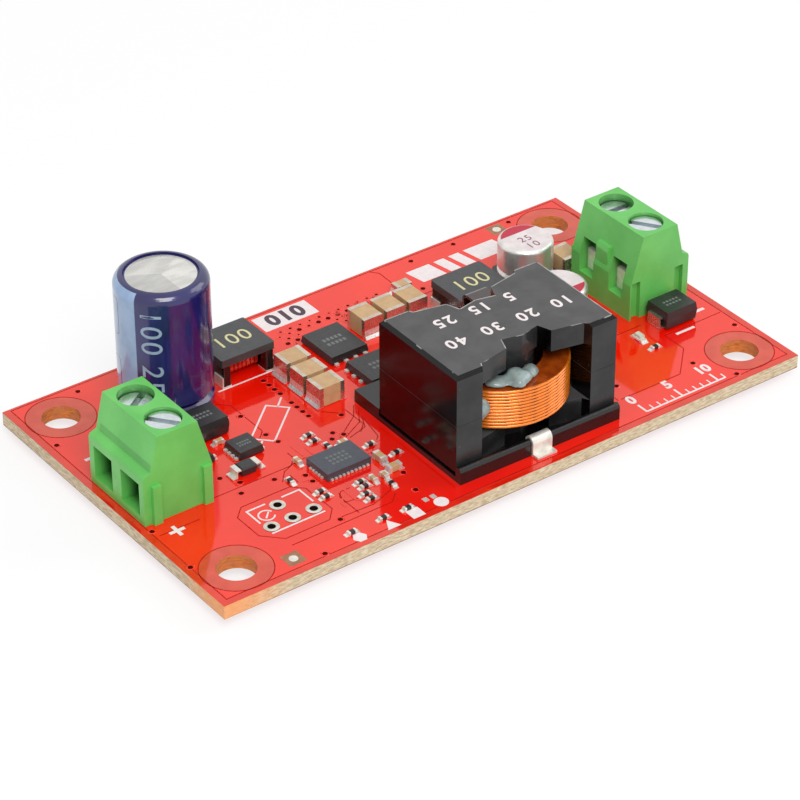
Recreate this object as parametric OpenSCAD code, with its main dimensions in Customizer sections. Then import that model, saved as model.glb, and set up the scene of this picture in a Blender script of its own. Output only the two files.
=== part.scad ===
/* [Board] */
// Length of the board, along the current's path
board_l = 75; // [74:0.5:100]
// Width of the board
board_w = 42; // [42:0.5:70]
// Thickness of the board
board_t = 1.6; // [1:0.2:2.4]
// Diameter of the four mounting holes
hole_d = 4.2; // [2.5:0.1:4.6]
// Distance from a board edge to a mounting hole's centre
hole_inset = 4.5; // [3.5:0.1:6]
// Thickness of the copper plating, in the holes and on the pads
plating = 0.05; // [0.03:0.01:0.1]
// Width of the ring pad round a plated hole
ring_w = 0.4; // [0.2:0.05:0.5]
// Bore of a terminal pin's hole
pin_bore = 1.3; // [1.2:0.1:1.6]
// Bore of the trimmer's four empty holes
trimmer_bore = 0.9; // [0.6:0.1:1.1]
// Length of the trimmed pins below the board
pin_stub = 1.3; // [1:0.1:2]

/* [Terminal blocks] */
// Distance between two poles
pole_pitch = 5.08; // [5:0.04:6]
// Depth of a block, from the wire entries to its back
block_depth = 8.3; // [8.3:0.1:10]
// Height of a block above the board
block_h = 10.2; // [10:0.1:12]
// Distance from the input block's wire face to the board's end
input_inset = 0.95; // [0.4:0.05:1.5]
// Distance from the output block's wire face to the board's end
output_inset = 2.1; // [1.8:0.05:2.3]
// Sideways place of the input block
input_y = -0.3; // [-3:0.1:3]
// Sideways place of the output block
output_y = 0.2; // [-2:0.1:3]
// Width of a wire entry
entry_w = 3.4; // [2.4:0.1:3.6]
// Height of a wire entry
entry_h = 3.9; // [2.5:0.1:4.2]
// Height of the entry's sill above the board
entry_sill = 0.9; // [0.8:0.05:1.2]
// Diameter of a screw well
well_d = 3.9; // [3.8:0.05:4.2]
// Clearance between a screw head and its well
head_clear = 0.15; // [0.1:0.05:0.3]
// Height of a screw head
head_h = 1.4; // [1:0.1:1.6]
// Diameter of a screw's threaded shank
screw_d = 2.9; // [2.4:0.1:3]
// Running clearance of the shank in its clamp cage
thread_clear = 0.05; // [0.02:0.01:0.08]
// Width of a screw's slot
slot_w = 0.75; // [0.5:0.05:1]
// Depth of a screw's slot
slot_depth = 0.7; // [0.4:0.05:0.9]
// Height of the web that carries the screw heads
web_top = 7.9; // [7.7:0.1:8.2]
// How far the near screw of each block is backed off
screw_lift = 0.5; // [0:0.05:0.5]
// Travel of a clamp cage
cage_travel = 1.4; // [0.8:0.1:1.5]
// Height of a clamp cage's threaded bar
cage_bar = 1; // [0.8:0.1:1.1]
// Wall of a clamp cage
cage_wall = 0.4; // [0.35:0.05:0.5]
// Depth of a clamp cage
cage_depth = 3.8; // [3.6:0.1:4]
// Thickness of a contact strip
strip_t = 0.5; // [0.3:0.05:0.6]
// Width of a contact's pin
pin_w = 1; // [0.8:0.05:1.05]

/* [Electrolytic capacitor] */
// Diameter over the sleeve
can_d = 10.2; // [8:0.1:10.4]
// Height over the sleeve
can_h = 16.3; // [11:0.1:25]
// Distance of its axis from the wire face of the input block
can_from_block = 14.05; // [14:0.05:14.4]
// Place across the board
can_y = 12.1; // [12:0.1:12.6]
// Thickness of the shrunk sleeve
sleeve_t = 0.2; // [0.1:0.05:0.3]
// Radius of the can's upper rim
rim_r = 0.9; // [0.5:0.05:1.2]
// Width of the ring where the sleeve folds over the rim
fold_w = 1; // [0.9:0.05:1.5]
// Depth of the crimped groove
crimp_depth = 0.4; // [0.2:0.05:0.6]
// Distance between the two leads
lead_pitch = 5; // [3.5:0.5:5]
// Diameter of a lead
lead_d = 0.6; // [0.5:0.05:0.7]

/* [Power inductor] */
// How far the plastic base reaches past each end of the core
base_rim = 0.1; // [0.1:0.05:0.6]
// Width of the plastic base
base_w = 19; // [19:0.1:19.4]
// Floor thickness of the base
base_floor = 0.6; // [0.4:0.1:1]
// Height of the rounded bar along the front
bar_h = 1.9; // [1.4:0.1:2.4]
// Height of the shelf behind the core
shelf_h = 1.5; // [1.2:0.1:2.4]
// Length of the ferrite core
core_l = 20.6; // [20:0.1:20.7]
// Width of the ferrite core
core_w = 13.6; // [13.2:0.1:13.8]
// Height of the two core halves together
core_h = 12; // [11.4:0.1:13]
// Thickness of a core half's plate
core_plate = 2.6; // [2:0.1:2.8]
// Width of a corner pillar
pillar_w = 3.25; // [3:0.05:3.5]
// Diameter of the centre post
post_d = 8; // [7:0.1:8.4]
// Thickness of the glue between the core halves
glue_line = 0.06; // [0.02:0.01:0.1]
// Bevel along the core's outer edges
core_bevel = 0.4; // [0.2:0.05:0.6]
// Outer diameter of the edge-wound coil
coil_d = 15.1; // [14.5:0.05:15.2]
// Width of the flat wire
wire_w = 2.8; // [2.2:0.1:3]
// Thickness of the flat wire
wire_t = 0.33; // [0.25:0.01:0.36]
// Gap between two turns
turn_gap = 0.055; // [0.04:0.005:0.08]
// Passes of the wire across the front
turns = 12; // [8:1:12]
// Height of the coil above the core's lower plate
coil_lift = 0.5; // [0.3:0.05:0.6]
// Thickness of the tinned clip on the front bar
clip_t = 0.25; // [0.15:0.05:0.3]
// Width of the tinned clip
clip_w = 2.5; // [1.5:0.1:4]

/* [Common-mode chokes] */
// Length of a choke
choke_l = 6.8; // [6:0.1:7]
// Width of a choke
choke_w = 6; // [5:0.1:6]
// Height of a choke
choke_h = 3.5; // [3:0.1:4.5]
// Thickness of the top plate
choke_plate_t = 0.9; // [0.6:0.05:1.1]
// Thickness of an end flange
flange_t = 1.3; // [1:0.05:1.5]
// Thickness of the choke's wire
choke_wire = 0.4; // [0.3:0.02:0.45]
// Turns on a choke
choke_turns = 8; // [5:1:8]

/* [Ceramic capacitors] */
// Length of a large ceramic capacitor
mlcc_l = 3.2; // [3:0.05:3.3]
// Width of a large ceramic capacitor
mlcc_w = 2.5; // [2.2:0.05:2.6]
// Height of a large ceramic capacitor
mlcc_h = 2.4; // [1.6:0.1:2.6]
// Length of its metal ends
mlcc_end = 0.5; // [0.3:0.05:0.7]
// Distance between neighbours in a row
mlcc_pitch = 3.05; // [2.9:0.05:3.1]

/* [Power transistors] */
// Length of a power transistor
fet_l = 5.8; // [5.4:0.1:5.8]
// Width of a power transistor
fet_w = 4.9; // [4.4:0.1:4.9]
// Height of a power transistor
fet_h = 1; // [0.8:0.05:1.2]
// Side of the small square input transistor
small_fet = 3; // [2.8:0.1:3.3]
// Height of the small square input transistor
small_fet_h = 0.95; // [0.7:0.05:1.2]

/* [Controller] */
// Length of the controller
chip_l = 5.5; // [4.5:0.1:5.5]
// Width of the controller
chip_w = 3.8; // [3:0.1:3.8]
// Height of the controller
chip_h = 0.9; // [0.7:0.05:1.1]
// Distance between its contacts
chip_pitch = 0.5; // [0.4:0.05:0.55]
// Contacts along a long side
chip_long_n = 10; // [8:1:10]
// Contacts along a short side
chip_short_n = 5; // [3:1:6]

/* [Polymer capacitors] */
// Diameter of a polymer capacitor
poly_d = 6.3; // [5:0.1:6.4]
// Height of a polymer capacitor
poly_h = 5.5; // [5:0.1:8]
// Height of its plastic base
poly_base_h = 0.9; // [0.7:0.05:1.2]

/* [Diodes] */
// Body length of the large diodes
diode_l = 4.3; // [4:0.1:4.4]
// Body width of the large diodes
diode_w = 3.6; // [3.2:0.05:3.7]
// Height of the large diodes
diode_h = 2.25; // [1.8:0.05:2.5]
// Width of their folded leads
diode_lead_w = 2; // [1.6:0.1:2.4]
// Body length of the small diode
clamp_l = 1.9; // [1.8:0.1:2.2]
// Body width of the small diode
clamp_w = 1.5; // [1.3:0.05:1.7]
// Height of the small diode
clamp_h = 1; // [0.9:0.05:1.2]

/* [Chip parts] */
// Length of a chip resistor or a small chip capacitor
chip_part_l = 1.05; // [1:0.05:1.1]
// Width of a chip resistor or a small chip capacitor
chip_part_w = 0.55; // [0.5:0.05:0.6]
// Height of a chip resistor
resistor_h = 0.35; // [0.3:0.05:0.45]
// Height of a small chip capacitor
small_cap_h = 0.5; // [0.4:0.05:0.6]
// Length of a chip part's metal ends
chip_end = 0.25; // [0.2:0.05:0.3]
// Length of a middle-sized chip part
mid_part_l = 1.6; // [1.5:0.05:1.65]
// Width of a middle-sized chip part
mid_part_w = 0.8; // [0.7:0.05:0.85]
// Height of a middle-sized chip capacitor
mid_cap_h = 0.75; // [0.5:0.05:0.8]

/* [Hidden] */
$fn = 48;

// Heights that every part on the board shares
top_z = board_t;
pad_z = board_t + plating;
stub_z = -pin_stub;

// Mounting holes and the poles of the two blocks
hole_x = board_l / 2 - hole_inset;
hole_y = board_w / 2 - hole_inset;
block_w = 2 * pole_pitch;
input_x = -board_l / 2 + input_inset;
output_x = board_l / 2 - output_inset;
near_y = -pole_pitch / 2;
far_y = pole_pitch / 2;

// Side profile of a block, from the wire face backwards
block_back_h = 4.46;
block_brow = [0.95, 6.2];
block_lip = [0.12, 5.85];
block_top_front = 1.9;
block_top_back = block_depth - 1.6;
screw_x = (block_top_front + block_top_back) / 2;
foot_relief = 0.25;
foot_rim = 0.8;

// Chamber of a clamp cage, with its strip and its leg
web_t = 0.5;
chamber_top = web_top - web_t;
chamber_depth = 4.4;
cage_clear = 0.12;
shank_clear = 0.1;
cage_w = screw_d + 2 * shank_clear + 2 * cage_wall;
chamber_w = cage_w + 2 * cage_clear;
cage_floor = 0.65;
cage_low = chamber_top - cage_travel - cage_clear - cage_bar;
strip_top = cage_low - 0.12;
cage_sill = 0.7;
cage_bottom = entry_sill - 0.2;
strip_w = cage_w - 2 * cage_wall - 0.4;
leg_x = screw_x + chamber_depth / 2 + 0.05;
leg_pocket = strip_t + 0.1;
pin_x = leg_x + strip_t / 2;
relief_end = pin_x + pin_bore / 2 + ring_w + 0.1;
tip_gap = 0.05;
window_w = 2.4;
window_low = 2.3;
window_high = 6.5;
rib_w = 1;
rib_out = 0.45;
rib_h = 4.6;
rib_clear = 0.1;
rib_front = 0.9;
rib_back = block_depth - 1.3;

// Turning of the four screw slots
input_near_turn = -52;
input_far_turn = 34;
output_near_turn = -55;
output_far_turn = -2;

// Electrolytic capacitor
can_r = can_d / 2 - sleeve_t;
can_top = can_h - sleeve_t;
can_turn = 30;
bung_r = can_r - 0.5;
bung_h = 1.4;
bung_channel = 0.2;
can_foot = 0.35;
crimp_low = 1.7;
crimp_high = 2.7;
vent_l = 3.3;
vent_w = 0.16;
vent_depth = 0.12;

// Inductor, in its own frame at the middle of the base
base_l = core_l + 2 * base_rim;
ind_x = 3.85;
ind_y = -board_w / 2 + 2.25 + base_w / 2;
ind_left = ind_x - base_l / 2;
ind_back = ind_y + base_w / 2;
ind_turn = -1;
bar_w = 0.9;
core_y = -base_w / 2 + bar_w + core_w / 2;
core_bottom = base_floor;
half_h = (core_h - glue_line) / 2;
core_mid = core_bottom + half_h;
post_gap = 0.25;
window_r = coil_d / 2 + 0.4;
pillar_inner = core_l / 2 - pillar_w;
coil_bottom = core_bottom + core_plate + coil_lift;
turn_pitch = wire_t + turn_gap;
coil_mean = coil_d / 2 - wire_w / 2;
lead_angle = 24;
lead_bend = 6;
leg_bend = 0.6;
leg_y = base_w / 2 - core_y - wire_t / 2 - 0.05;
foot_l = 1.3;
foot_z = wire_t / 2 + plating;
coil_turn_angle = 360 * turns + 2 * lead_angle - 180;
coil_top = coil_bottom + turn_pitch * coil_turn_angle / 360 + wire_t;
lead_notch = wire_w + 0.3;
lead_mid = coil_mean * cos(lead_angle) - lead_bend * (1 - cos(lead_angle));
ring_step = 12;

// Parts behind the inductor and beside it keep their distance from it
mlcc_row_a = [ind_left - 2, ind_back + 5.5];
mlcc_row_b = [ind_x + 2, ind_back + 10.9];
mlcc_row_n = 3;
block_cap = [ind_x + 6.75, ind_back + 14.75, 0];
block_cap_size = [2, 1.25, 1.25];
fet_places = [[ind_x - 5.85, ind_back + 9.95, 90], [ind_x - 4.55, ind_back + 3.3, 0]];
controller_place = [ind_left - 8, -8.1, 0];

// Parts near an end of the board keep their distance from its terminal block
can_x = input_x + can_from_block;
choke_places = [[input_x + 23.6, 13.65, 0], [ind_x + 10.9, ind_back + 7.35, 0]];
small_fet_place = [input_x + 15.6, -0.15, 0];
poly_places = [[output_x - 12.15, 8.8, 90], [output_x - 15.15, -0.9, -50]];
mlcc_single = [output_x - 7.1, 7.9];
large_diode_places = [[output_x - 4.2, -7.2, 0], [input_x + 13.95, 5.05, 0]];
small_diode_place = [input_x + 13.6, -3.4, 0];
clamp_lead = [1.1, 1.3, 0.15];
signal_transistor_place = [input_x + 11.25, 1.2, 90];
lamp_place = [output_x - 9.7, -8.3, 90];
trimmer_holes = [
    for (p = [[12.85, -10.2], [10.25, -12.9], [12.85, -12.9], [15.45, -12.9]])
        [input_x + p[0], p[1]]
];

// Chip parts: x from the controller's middle, y and turn
function by_controller(list) = [for (p = list) [controller_place[0] + p[0], p[1], p[2]]];
resistor_places = concat(
    by_controller([
        [-5.8, -7.7, 90], [0.35, -2.05, 0], [0.25, -3.2, 0], [0.9, -4.85, 90],
        [4.6, -7.2, 0], [5.9, -10.05, 0], [-4.45, -11.05, 0], [-4.45, -12.1, 0],
        [-0.2, -12.1, 0], [-0.2, -13, 0], [-0.95, -14.1, 0], [-0.95, -15.1, 0],
        [2.3, -14.25, 90], [-1.95, -18.55, 0], [1.05, -18.65, 0], [-5.95, -18.65, 0]
    ]),
    [[output_x - 9.5, -10.7, 0]]
);
small_cap_places = concat(
    by_controller([[-3.25, -5.35, 90], [2.45, -5.3, 0], [1.2, -12.55, 90], [2.45, -12.75, 90]]),
    [[input_x + 14.15, 2.5, 0]]
);
mid_cap_places = by_controller([[3.9, -10, 90], [4, -12.25, 0]]);

mid_part_end = 0.35;

// Solder fillets
fillet_reach = 0.25;
fillet_rise = 0.6;

// Plated holes as x, y and bore
function turned(a, p) = [p[0] * cos(a) - p[1] * sin(a), p[0] * sin(a) + p[1] * cos(a)];
input_pins = [for (y = [near_y, far_y]) [input_x + pin_x, input_y + y, pin_bore]];
output_pins = [for (y = [near_y, far_y]) [output_x - pin_x, output_y + y, pin_bore]];
lead_bore = lead_d + 0.3;
can_leads = [
    for (s = [-1, 1])
        let (p = turned(can_turn, [s * lead_pitch / 2, 0]))
            [can_x + p[0], can_y + p[1], lead_bore]
];
soldered_holes = concat(input_pins, output_pins, can_leads);
all_plated = concat(soldered_holes, [for (p = trimmer_holes) [p[0], p[1], trimmer_bore]]);

// Rectangle with true round corners
module rounded_rect(l, w, r) {
    square([l - 2 * r, w], center = true);
    square([l, w - 2 * r], center = true);
    for (sx = [-1, 1], sy = [-1, 1])
        translate([sx * (l / 2 - r), sy * (w / 2 - r)])
            circle(r = r);
}

// Bar along X with rounded long edges, standing on z = 0
module soft_bar(l, w, h, r) {
    translate([-l / 2, 0, h / 2])
        rotate([90, 0, 90])
            linear_extrude(l)
                rounded_rect(w, h, r);
}

// Puts children at a place given as x, y and turn, at height z
module place(p, z) {
    translate([p[0], p[1], z])
        rotate([0, 0, p[2]])
            children();
}

// ---- Board ----

module board() {
    color("crimson")
        linear_extrude(board_t)
            difference() {
                square([board_l, board_w], center = true);
                for (sx = [-1, 1], sy = [-1, 1])
                    translate([sx * hole_x, sy * hole_y])
                        circle(d = hole_d);
                for (p = all_plated)
                    translate([p[0], p[1]])
                        circle(d = p[2] + 2 * plating);
            }
}

// Barrel through the board with a ring pad on each side
module plated_hole(bore) {
    r = bore / 2;
    rotate_extrude() {
        translate([r, -plating])
            square([plating, board_t + 2 * plating]);
        for (z = [-plating, board_t])
            translate([r, z])
                square([ring_w, plating]);
    }
}

module plated_holes() {
    color("silver")
        for (p = all_plated)
            translate([p[0], p[1]])
                plated_hole(p[2]);
}

// Solder that fills a hole and forms a cone below the board
module solder_joint(bore) {
    cone_h = pin_stub - 0.3;
    translate([0, 0, -plating - cone_h])
        cylinder(h = cone_h, r1 = bore / 2 - 0.05, r2 = bore / 2 + ring_w * 0.9);
    translate([0, 0, -plating])
        cylinder(h = board_t + 2 * plating, d = bore);
}

module solder_joints() {
    color("lightgray")
        difference() {
            for (p = soldered_holes)
                translate([p[0], p[1]])
                    solder_joint(p[2]);
            for (p = concat(input_pins, output_pins))
                translate([p[0], p[1], stub_z - 1])
                    linear_extrude(board_t + pin_stub + 2)
                        square([strip_t, pin_w], center = true);
            for (p = can_leads)
                translate([p[0], p[1], stub_z - 1])
                    cylinder(h = board_t + pin_stub + 2, d = lead_d);
        }
}

// ---- Terminal blocks, with the wire face at x = 0 and the board at z = 0 ----

module block_profile() {
    polygon([
        [0, 0], [block_depth, 0], [block_depth, block_back_h],
        [block_top_back, block_h], [block_top_front, block_h],
        block_brow, block_lip, [0, block_lip[1] - 0.3]
    ]);
}

module side_rib(x, w, out, h) {
    translate([x, -block_w / 2 - out, 0])
        cube([w, out, h]);
}

module block_housing() {
    difference() {
        union() {
            translate([0, block_w / 2, 0])
                rotate([90, 0, 0])
                    linear_extrude(block_w)
                        block_profile();
            side_rib(rib_front, rib_w, rib_out, rib_h);
            side_rib(rib_back, rib_w, rib_out, rib_h);
        }
        // grooves that take the next block's ribs
        for (x = [rib_front, rib_back])
            translate([x - rib_clear, block_w / 2 - rib_out - rib_clear, -1])
                cube([rib_w + 2 * rib_clear, rib_out + 1, rib_h + rib_clear + 1]);
        // relief over the ring pads
        translate([screw_x - chamber_depth / 2, -block_w / 2 + foot_rim, -1])
            cube([relief_end - screw_x + chamber_depth / 2, block_w - 2 * foot_rim, 1 + foot_relief]);
        for (y = [near_y, far_y])
            translate([0, y, 0])
                pole_cut();
    }
}

// Everything that one pole takes out of the housing
module pole_cut() {
    translate([-1, -entry_w / 2, entry_sill])
        cube([screw_x, entry_w, entry_h]);
    translate([screw_x - chamber_depth / 2, -chamber_w / 2, entry_sill - 0.3])
        cube([chamber_depth, chamber_w, chamber_top - entry_sill + 0.3]);
    translate([screw_x, 0, chamber_top - 1])
        cylinder(h = web_t + 2, d = screw_d + 0.3);
    translate([screw_x, 0, web_top])
        cylinder(h = block_h, d = well_d);
    // pocket of the contact's leg, open to the back as a window
    translate([leg_x - 0.05, -strip_w / 2 - 0.1, -1])
        cube([leg_pocket, strip_w + 0.2, strip_top + 1.1]);
    translate([leg_x, -window_w / 2, window_low])
        cube([block_depth, window_w, window_high - window_low]);
}

// Contact strip over the wire, with its leg and its pin
module contact() {
    strip_low = strip_top - strip_t;
    strip_from = screw_x - cage_depth / 2 - 0.2;
    translate([strip_from, -strip_w / 2, strip_low])
        cube([leg_x + strip_t - strip_from, strip_w, strip_t]);
    translate([leg_x, -strip_w / 2, foot_relief])
        cube([strip_t, strip_w, strip_top - foot_relief]);
    translate([leg_x, -pin_w / 2, -board_t - pin_stub])
        cube([strip_t, pin_w, board_t + pin_stub + foot_relief + 0.1]);
}

// Clamp cage: a loop round the strip, with a threaded bar above
module cage() {
    loop_h = cage_low + cage_bar - cage_bottom;
    difference() {
        translate([screw_x, 0, cage_bottom])
            soft_bar(cage_depth, cage_w, loop_h, 0.3);
        translate([0, -cage_w / 2 + cage_wall, cage_bottom + cage_floor])
            cube([block_depth, cage_w - 2 * cage_wall, cage_low - cage_bottom - cage_floor]);
        translate([screw_x, 0, cage_low - 1])
            cylinder(h = cage_bar + 2, d = screw_d + 2 * thread_clear);
        // grip grooves across the floor
        for (i = [-1:1])
            translate([screw_x + i, 0, cage_bottom + cage_floor])
                rotate([90, 0, 0])
                    cylinder(h = cage_w - 2 * cage_wall, r = 0.25, center = true);
    }
}

module clamp_screw(lift, turn) {
    translate([screw_x, 0, lift])
        rotate([0, 0, turn])
            difference() {
                union() {
                    translate([0, 0, web_top])
                        cylinder(h = head_h, d = well_d - 2 * head_clear);
                    translate([0, 0, strip_top + tip_gap])
                        cylinder(h = web_top - strip_top, d = screw_d);
                }
                translate([-well_d / 2, -slot_w / 2, web_top + head_h - slot_depth])
                    cube([well_d, slot_w, head_h]);
            }
}

module at_input(y) {
    translate([input_x, input_y + y, top_z])
        children();
}

module at_output(y) {
    translate([output_x, output_y - y, top_z])
        rotate([0, 0, 180])
            children();
}

module input_terminal_housing() {
    color("limegreen")
        at_input(0)
            block_housing();
}

module input_terminal_contacts() {
    color("silver")
        for (y = [near_y, far_y])
            at_input(y)
                contact();
}

module input_near_screw() {
    color("gainsboro")
        at_input(near_y)
            clamp_screw(screw_lift, input_near_turn);
}

module input_far_screw() {
    color("gainsboro")
        at_input(far_y)
            clamp_screw(0, input_far_turn);
}

module input_near_cage() {
    color("darkgray")
        at_input(near_y)
            cage();
}

module input_far_cage() {
    color("darkgray")
        at_input(far_y)
            cage();
}

module output_terminal_housing() {
    color("limegreen")
        at_output(0)
            block_housing();
}

module output_terminal_contacts() {
    color("silver")
        for (y = [near_y, far_y])
            at_output(y)
                contact();
}

module output_near_screw() {
    color("gainsboro")
        at_output(far_y)
            clamp_screw(screw_lift, output_near_turn);
}

module output_far_screw() {
    color("gainsboro")
        at_output(near_y)
            clamp_screw(0, output_far_turn);
}

module output_near_cage() {
    color("darkgray")
        at_output(far_y)
            cage();
}

module output_far_cage() {
    color("darkgray")
        at_output(near_y)
            cage();
}

// ---- Electrolytic capacitor ----

// Outline of the can, moved out by a distance, from the foot to the top
function can_outline(out) = concat(
    [
        [can_r - 0.3 + out, can_foot], [can_r + out, can_foot + 0.35],
        [can_r + out, crimp_low], [can_r - crimp_depth + out, (crimp_low + crimp_high) / 2 - 0.1],
        [can_r - crimp_depth + out, (crimp_low + crimp_high) / 2 + 0.1], [can_r + out, crimp_high]
    ],
    [
        for (a = [0:10:90])
            [can_r - rim_r + (rim_r + out) * cos(a), can_top - rim_r + (rim_r + out) * sin(a)]
    ]
);

module at_can() {
    translate([can_x, can_y, top_z])
        rotate([0, 0, can_turn])
            children();
}

module electrolytic_can() {
    color("silver")
        at_can()
            difference() {
                rotate_extrude()
                    polygon(concat(
                        [[0, bung_h], [bung_r, bung_h], [bung_r, can_foot]],
                        can_outline(0),
                        [[0, can_top]]
                    ));
                for (a = [90, 210, 330])
                    rotate([0, 0, a])
                        translate([0, -vent_w / 2, can_top - vent_depth])
                            cube([vent_l, vent_w, 1]);
            }
}

module electrolytic_sleeve() {
    inner = can_outline(0);
    fold_r = can_d / 2 - fold_w;
    color("midnightblue")
        at_can()
            rotate_extrude()
                polygon(concat(
                    can_outline(sleeve_t),
                    [[fold_r, can_h], [fold_r, can_top]],
                    [for (i = [len(inner) - 1:-1:0]) inner[i]]
                ));
}

module electrolytic_bung() {
    color("dimgray")
        at_can()
            difference() {
                cylinder(h = bung_h, r = bung_r);
                translate([-can_r, -1, -1])
                    cube([can_d, 2, 1 + bung_channel]);
                for (s = [-1, 1])
                    translate([s * lead_pitch / 2, 0, -1])
                        cylinder(h = bung_h + 2, d = lead_d);
            }
}

module electrolytic_leads() {
    color("lightgray")
        for (p = can_leads)
            translate([p[0], p[1], stub_z])
                cylinder(h = pin_stub + board_t + bung_h, d = lead_d);
}

// ---- Power inductor ----

module at_inductor() {
    translate([ind_x, ind_y, top_z])
        rotate([0, 0, ind_turn])
            children();
}

module at_core() {
    at_inductor()
        translate([0, core_y, 0])
            children();
}

// Section of the front bar: upright with a round top
module bar_section(grow) {
    r = bar_w / 2 + grow;
    translate([-r, 0])
        square([2 * r, bar_h - bar_w / 2]);
    translate([0, bar_h - bar_w / 2])
        circle(r = r);
}

module along_bar(l) {
    translate([-l / 2, -base_w / 2 + bar_w / 2, 0])
        rotate([90, 0, 90])
            linear_extrude(l)
                children();
}

module inductor_base() {
    shelf_w = base_w / 2 - core_y - core_w / 2;
    color([0.1, 0.1, 0.1])
        at_inductor()
            difference() {
                union() {
                    translate([-base_l / 2, -base_w / 2, 0])
                        cube([base_l, base_w, base_floor]);
                    along_bar(base_l)
                        bar_section(0);
                    translate([-base_l / 2, base_w / 2 - shelf_w, 0])
                        cube([base_l, shelf_w, shelf_h]);
                }
                // notches for the two wire ends, above and below the shelf
                for (s = [-1, 1])
                    translate([s * lead_mid - lead_notch / 2, base_w / 2, -1]) {
                        translate([0, -wire_t - 0.15, 0])
                            cube([lead_notch, 1, shelf_h + 2]);
                        translate([0, -foot_l - 0.9, 0])
                            cube([lead_notch, foot_l + 1, 1 + wire_t + plating + leg_bend / 2]);
                    }
                // seat of the front clip's foot
                translate([-clip_w / 2 - 0.1, -base_w / 2 - 1, -1])
                    cube([clip_w + 0.2, 1.001, 1 + clip_t]);
            }
}

// Plate of a core half, notched where the coil shows
module core_plate_shape() {
    x1 = core_l / 2;
    x2 = core_l / 2 - pillar_w;
    y1 = core_w / 2;
    side = [
        [x1, y1], [x2, y1], [x2 - 0.45, y1 - 0.85],
        [2.9, y1 - 1.6], [2.3, y1 - 3.2], [0, y1 - 2.7]
    ];
    quarter = concat([[0, 0], [x1, 0]], side);
    for (mx = [0, 1], my = [0, 1])
        mirror([mx, 0])
            mirror([0, my])
                polygon(quarter);
}

// Outer legs, hollowed to follow the coil
module core_leg_shape() {
    difference() {
        square([core_l, core_w], center = true);
        square([core_l - 2 * pillar_w, core_w + 1], center = true);
        circle(r = window_r, $fn = 96);
    }
}

// Corner-wise prism that bevels an outer edge
module bevel_prism(l) {
    rotate([45, 0, 0])
        cube([l, core_bevel * sqrt(2), core_bevel * sqrt(2)], center = true);
}

// A core half lying on its plate, open side up
module core_half() {
    difference() {
        union() {
            linear_extrude(core_plate)
                core_plate_shape();
            linear_extrude(half_h)
                core_leg_shape();
            cylinder(h = half_h - post_gap, d = post_d, $fn = 96);
        }
        for (s = [-1, 1]) {
            translate([0, s * core_w / 2, 0])
                bevel_prism(core_l + 1);
            translate([s * core_l / 2, 0, 0])
                rotate([0, 0, 90])
                    bevel_prism(core_w + 1);
        }
    }
}

module inductor_core_lower() {
    color([0.17, 0.17, 0.18])
        at_core()
            translate([0, 0, core_bottom])
                core_half();
}

module inductor_core_upper() {
    color([0.28, 0.28, 0.29])
        at_core()
            translate([0, 0, core_bottom + core_h])
                rotate([180, 0, 0])
                    core_half();
}

// A ring of the flat wire: middle, width direction and normal
function ring(c, w, n) = [
    c - w * wire_w / 2 - n * wire_t / 2, c + w * wire_w / 2 - n * wire_t / 2,
    c + w * wire_w / 2 + n * wire_t / 2, c - w * wire_w / 2 + n * wire_t / 2
];

// Turns of the coil, anticlockwise and rising
first_angle = 180 - lead_angle;
coil_rings = [
    for (a = [0:ring_step:coil_turn_angle])
        let (q = first_angle + a)
            let (z = coil_bottom + wire_t / 2 + turn_pitch * a / 360)
                ring([coil_mean * cos(q), coil_mean * sin(q), z], [cos(q), sin(q), 0], [0, 0, 1])
];

// Wire end on the right: straightens, runs back, bends down and folds under
function lead_rings(z) =
    let (y0 = coil_mean * sin(lead_angle) + lead_bend * sin(lead_angle))
    let (down_y = leg_y - leg_bend)
    concat(
        [
            for (a = [lead_angle - 6:-6:0])
                let (x = lead_mid + lead_bend * (1 - cos(a)))
                let (y = y0 - lead_bend * sin(a))
                    ring([x, y, z], [cos(a), sin(a), 0], [0, 0, 1])
        ],
        [
            for (a = [0:15:90])
                ring(
                    [lead_mid, down_y + leg_bend * sin(a), z - leg_bend * (1 - cos(a))],
                    [1, 0, 0], [0, sin(a), cos(a)]
                )
        ],
        [
            for (a = [0:15:90])
                ring(
                    [lead_mid, down_y + leg_bend * cos(a), foot_z + leg_bend * (1 - sin(a))],
                    [1, 0, 0], [0, cos(a), -sin(a)]
                )
        ],
        [ring([lead_mid, leg_y - foot_l, foot_z], [1, 0, 0], [0, 0, -1])]
    );

// The same end on the left, from its foot up to the coil
function mirrored_ring(r) = [for (p = r) [-p[0], p[1], p[2]]];
function left_rings(z) =
    let (r = lead_rings(z))
        [for (i = [len(r) - 1:-1:0]) mirrored_ring(r[i])];

module inductor_winding() {
    rings = concat(
        left_rings(coil_bottom + wire_t / 2),
        coil_rings,
        lead_rings(coil_top - wire_t / 2)
    );
    n = len(rings);
    sides = [
        for (i = [0:n - 2], k = [0:3])
            let (a = 4 * i + k)
            let (b = 4 * i + (k + 1) % 4)
                each [[a, a + 4, b], [b, a + 4, b + 4]]
    ];
    ends = [[0, 1, 2, 3], [4 * n - 1, 4 * n - 2, 4 * n - 3, 4 * n - 4]];
    color("darkorange")
        at_core()
            polyhedron(points = [for (r = rings) each r], faces = concat(sides, ends));
}

module inductor_clip() {
    clip_h = bar_h - 0.9;
    foot = 1.1;
    color("silver")
        at_inductor() {
            along_bar(clip_w)
                difference() {
                    bar_section(clip_t);
                    bar_section(0);
                    translate([0, -1])
                        square([bar_w, clip_h + 1]);
                }
            translate([-clip_w / 2, -base_w / 2 - foot, plating])
                cube([clip_w, foot - clip_t, clip_t]);
        }
}

// Domes of glue: angle on the coil, distance, radius, height
glue_domes = [[232, 6, 1.2, 0.9], [252, 5.9, 1.6, 1.4], [273, 5.2, 1.1, 1.2], [84, 6, 1.8, 1.3]];

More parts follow.
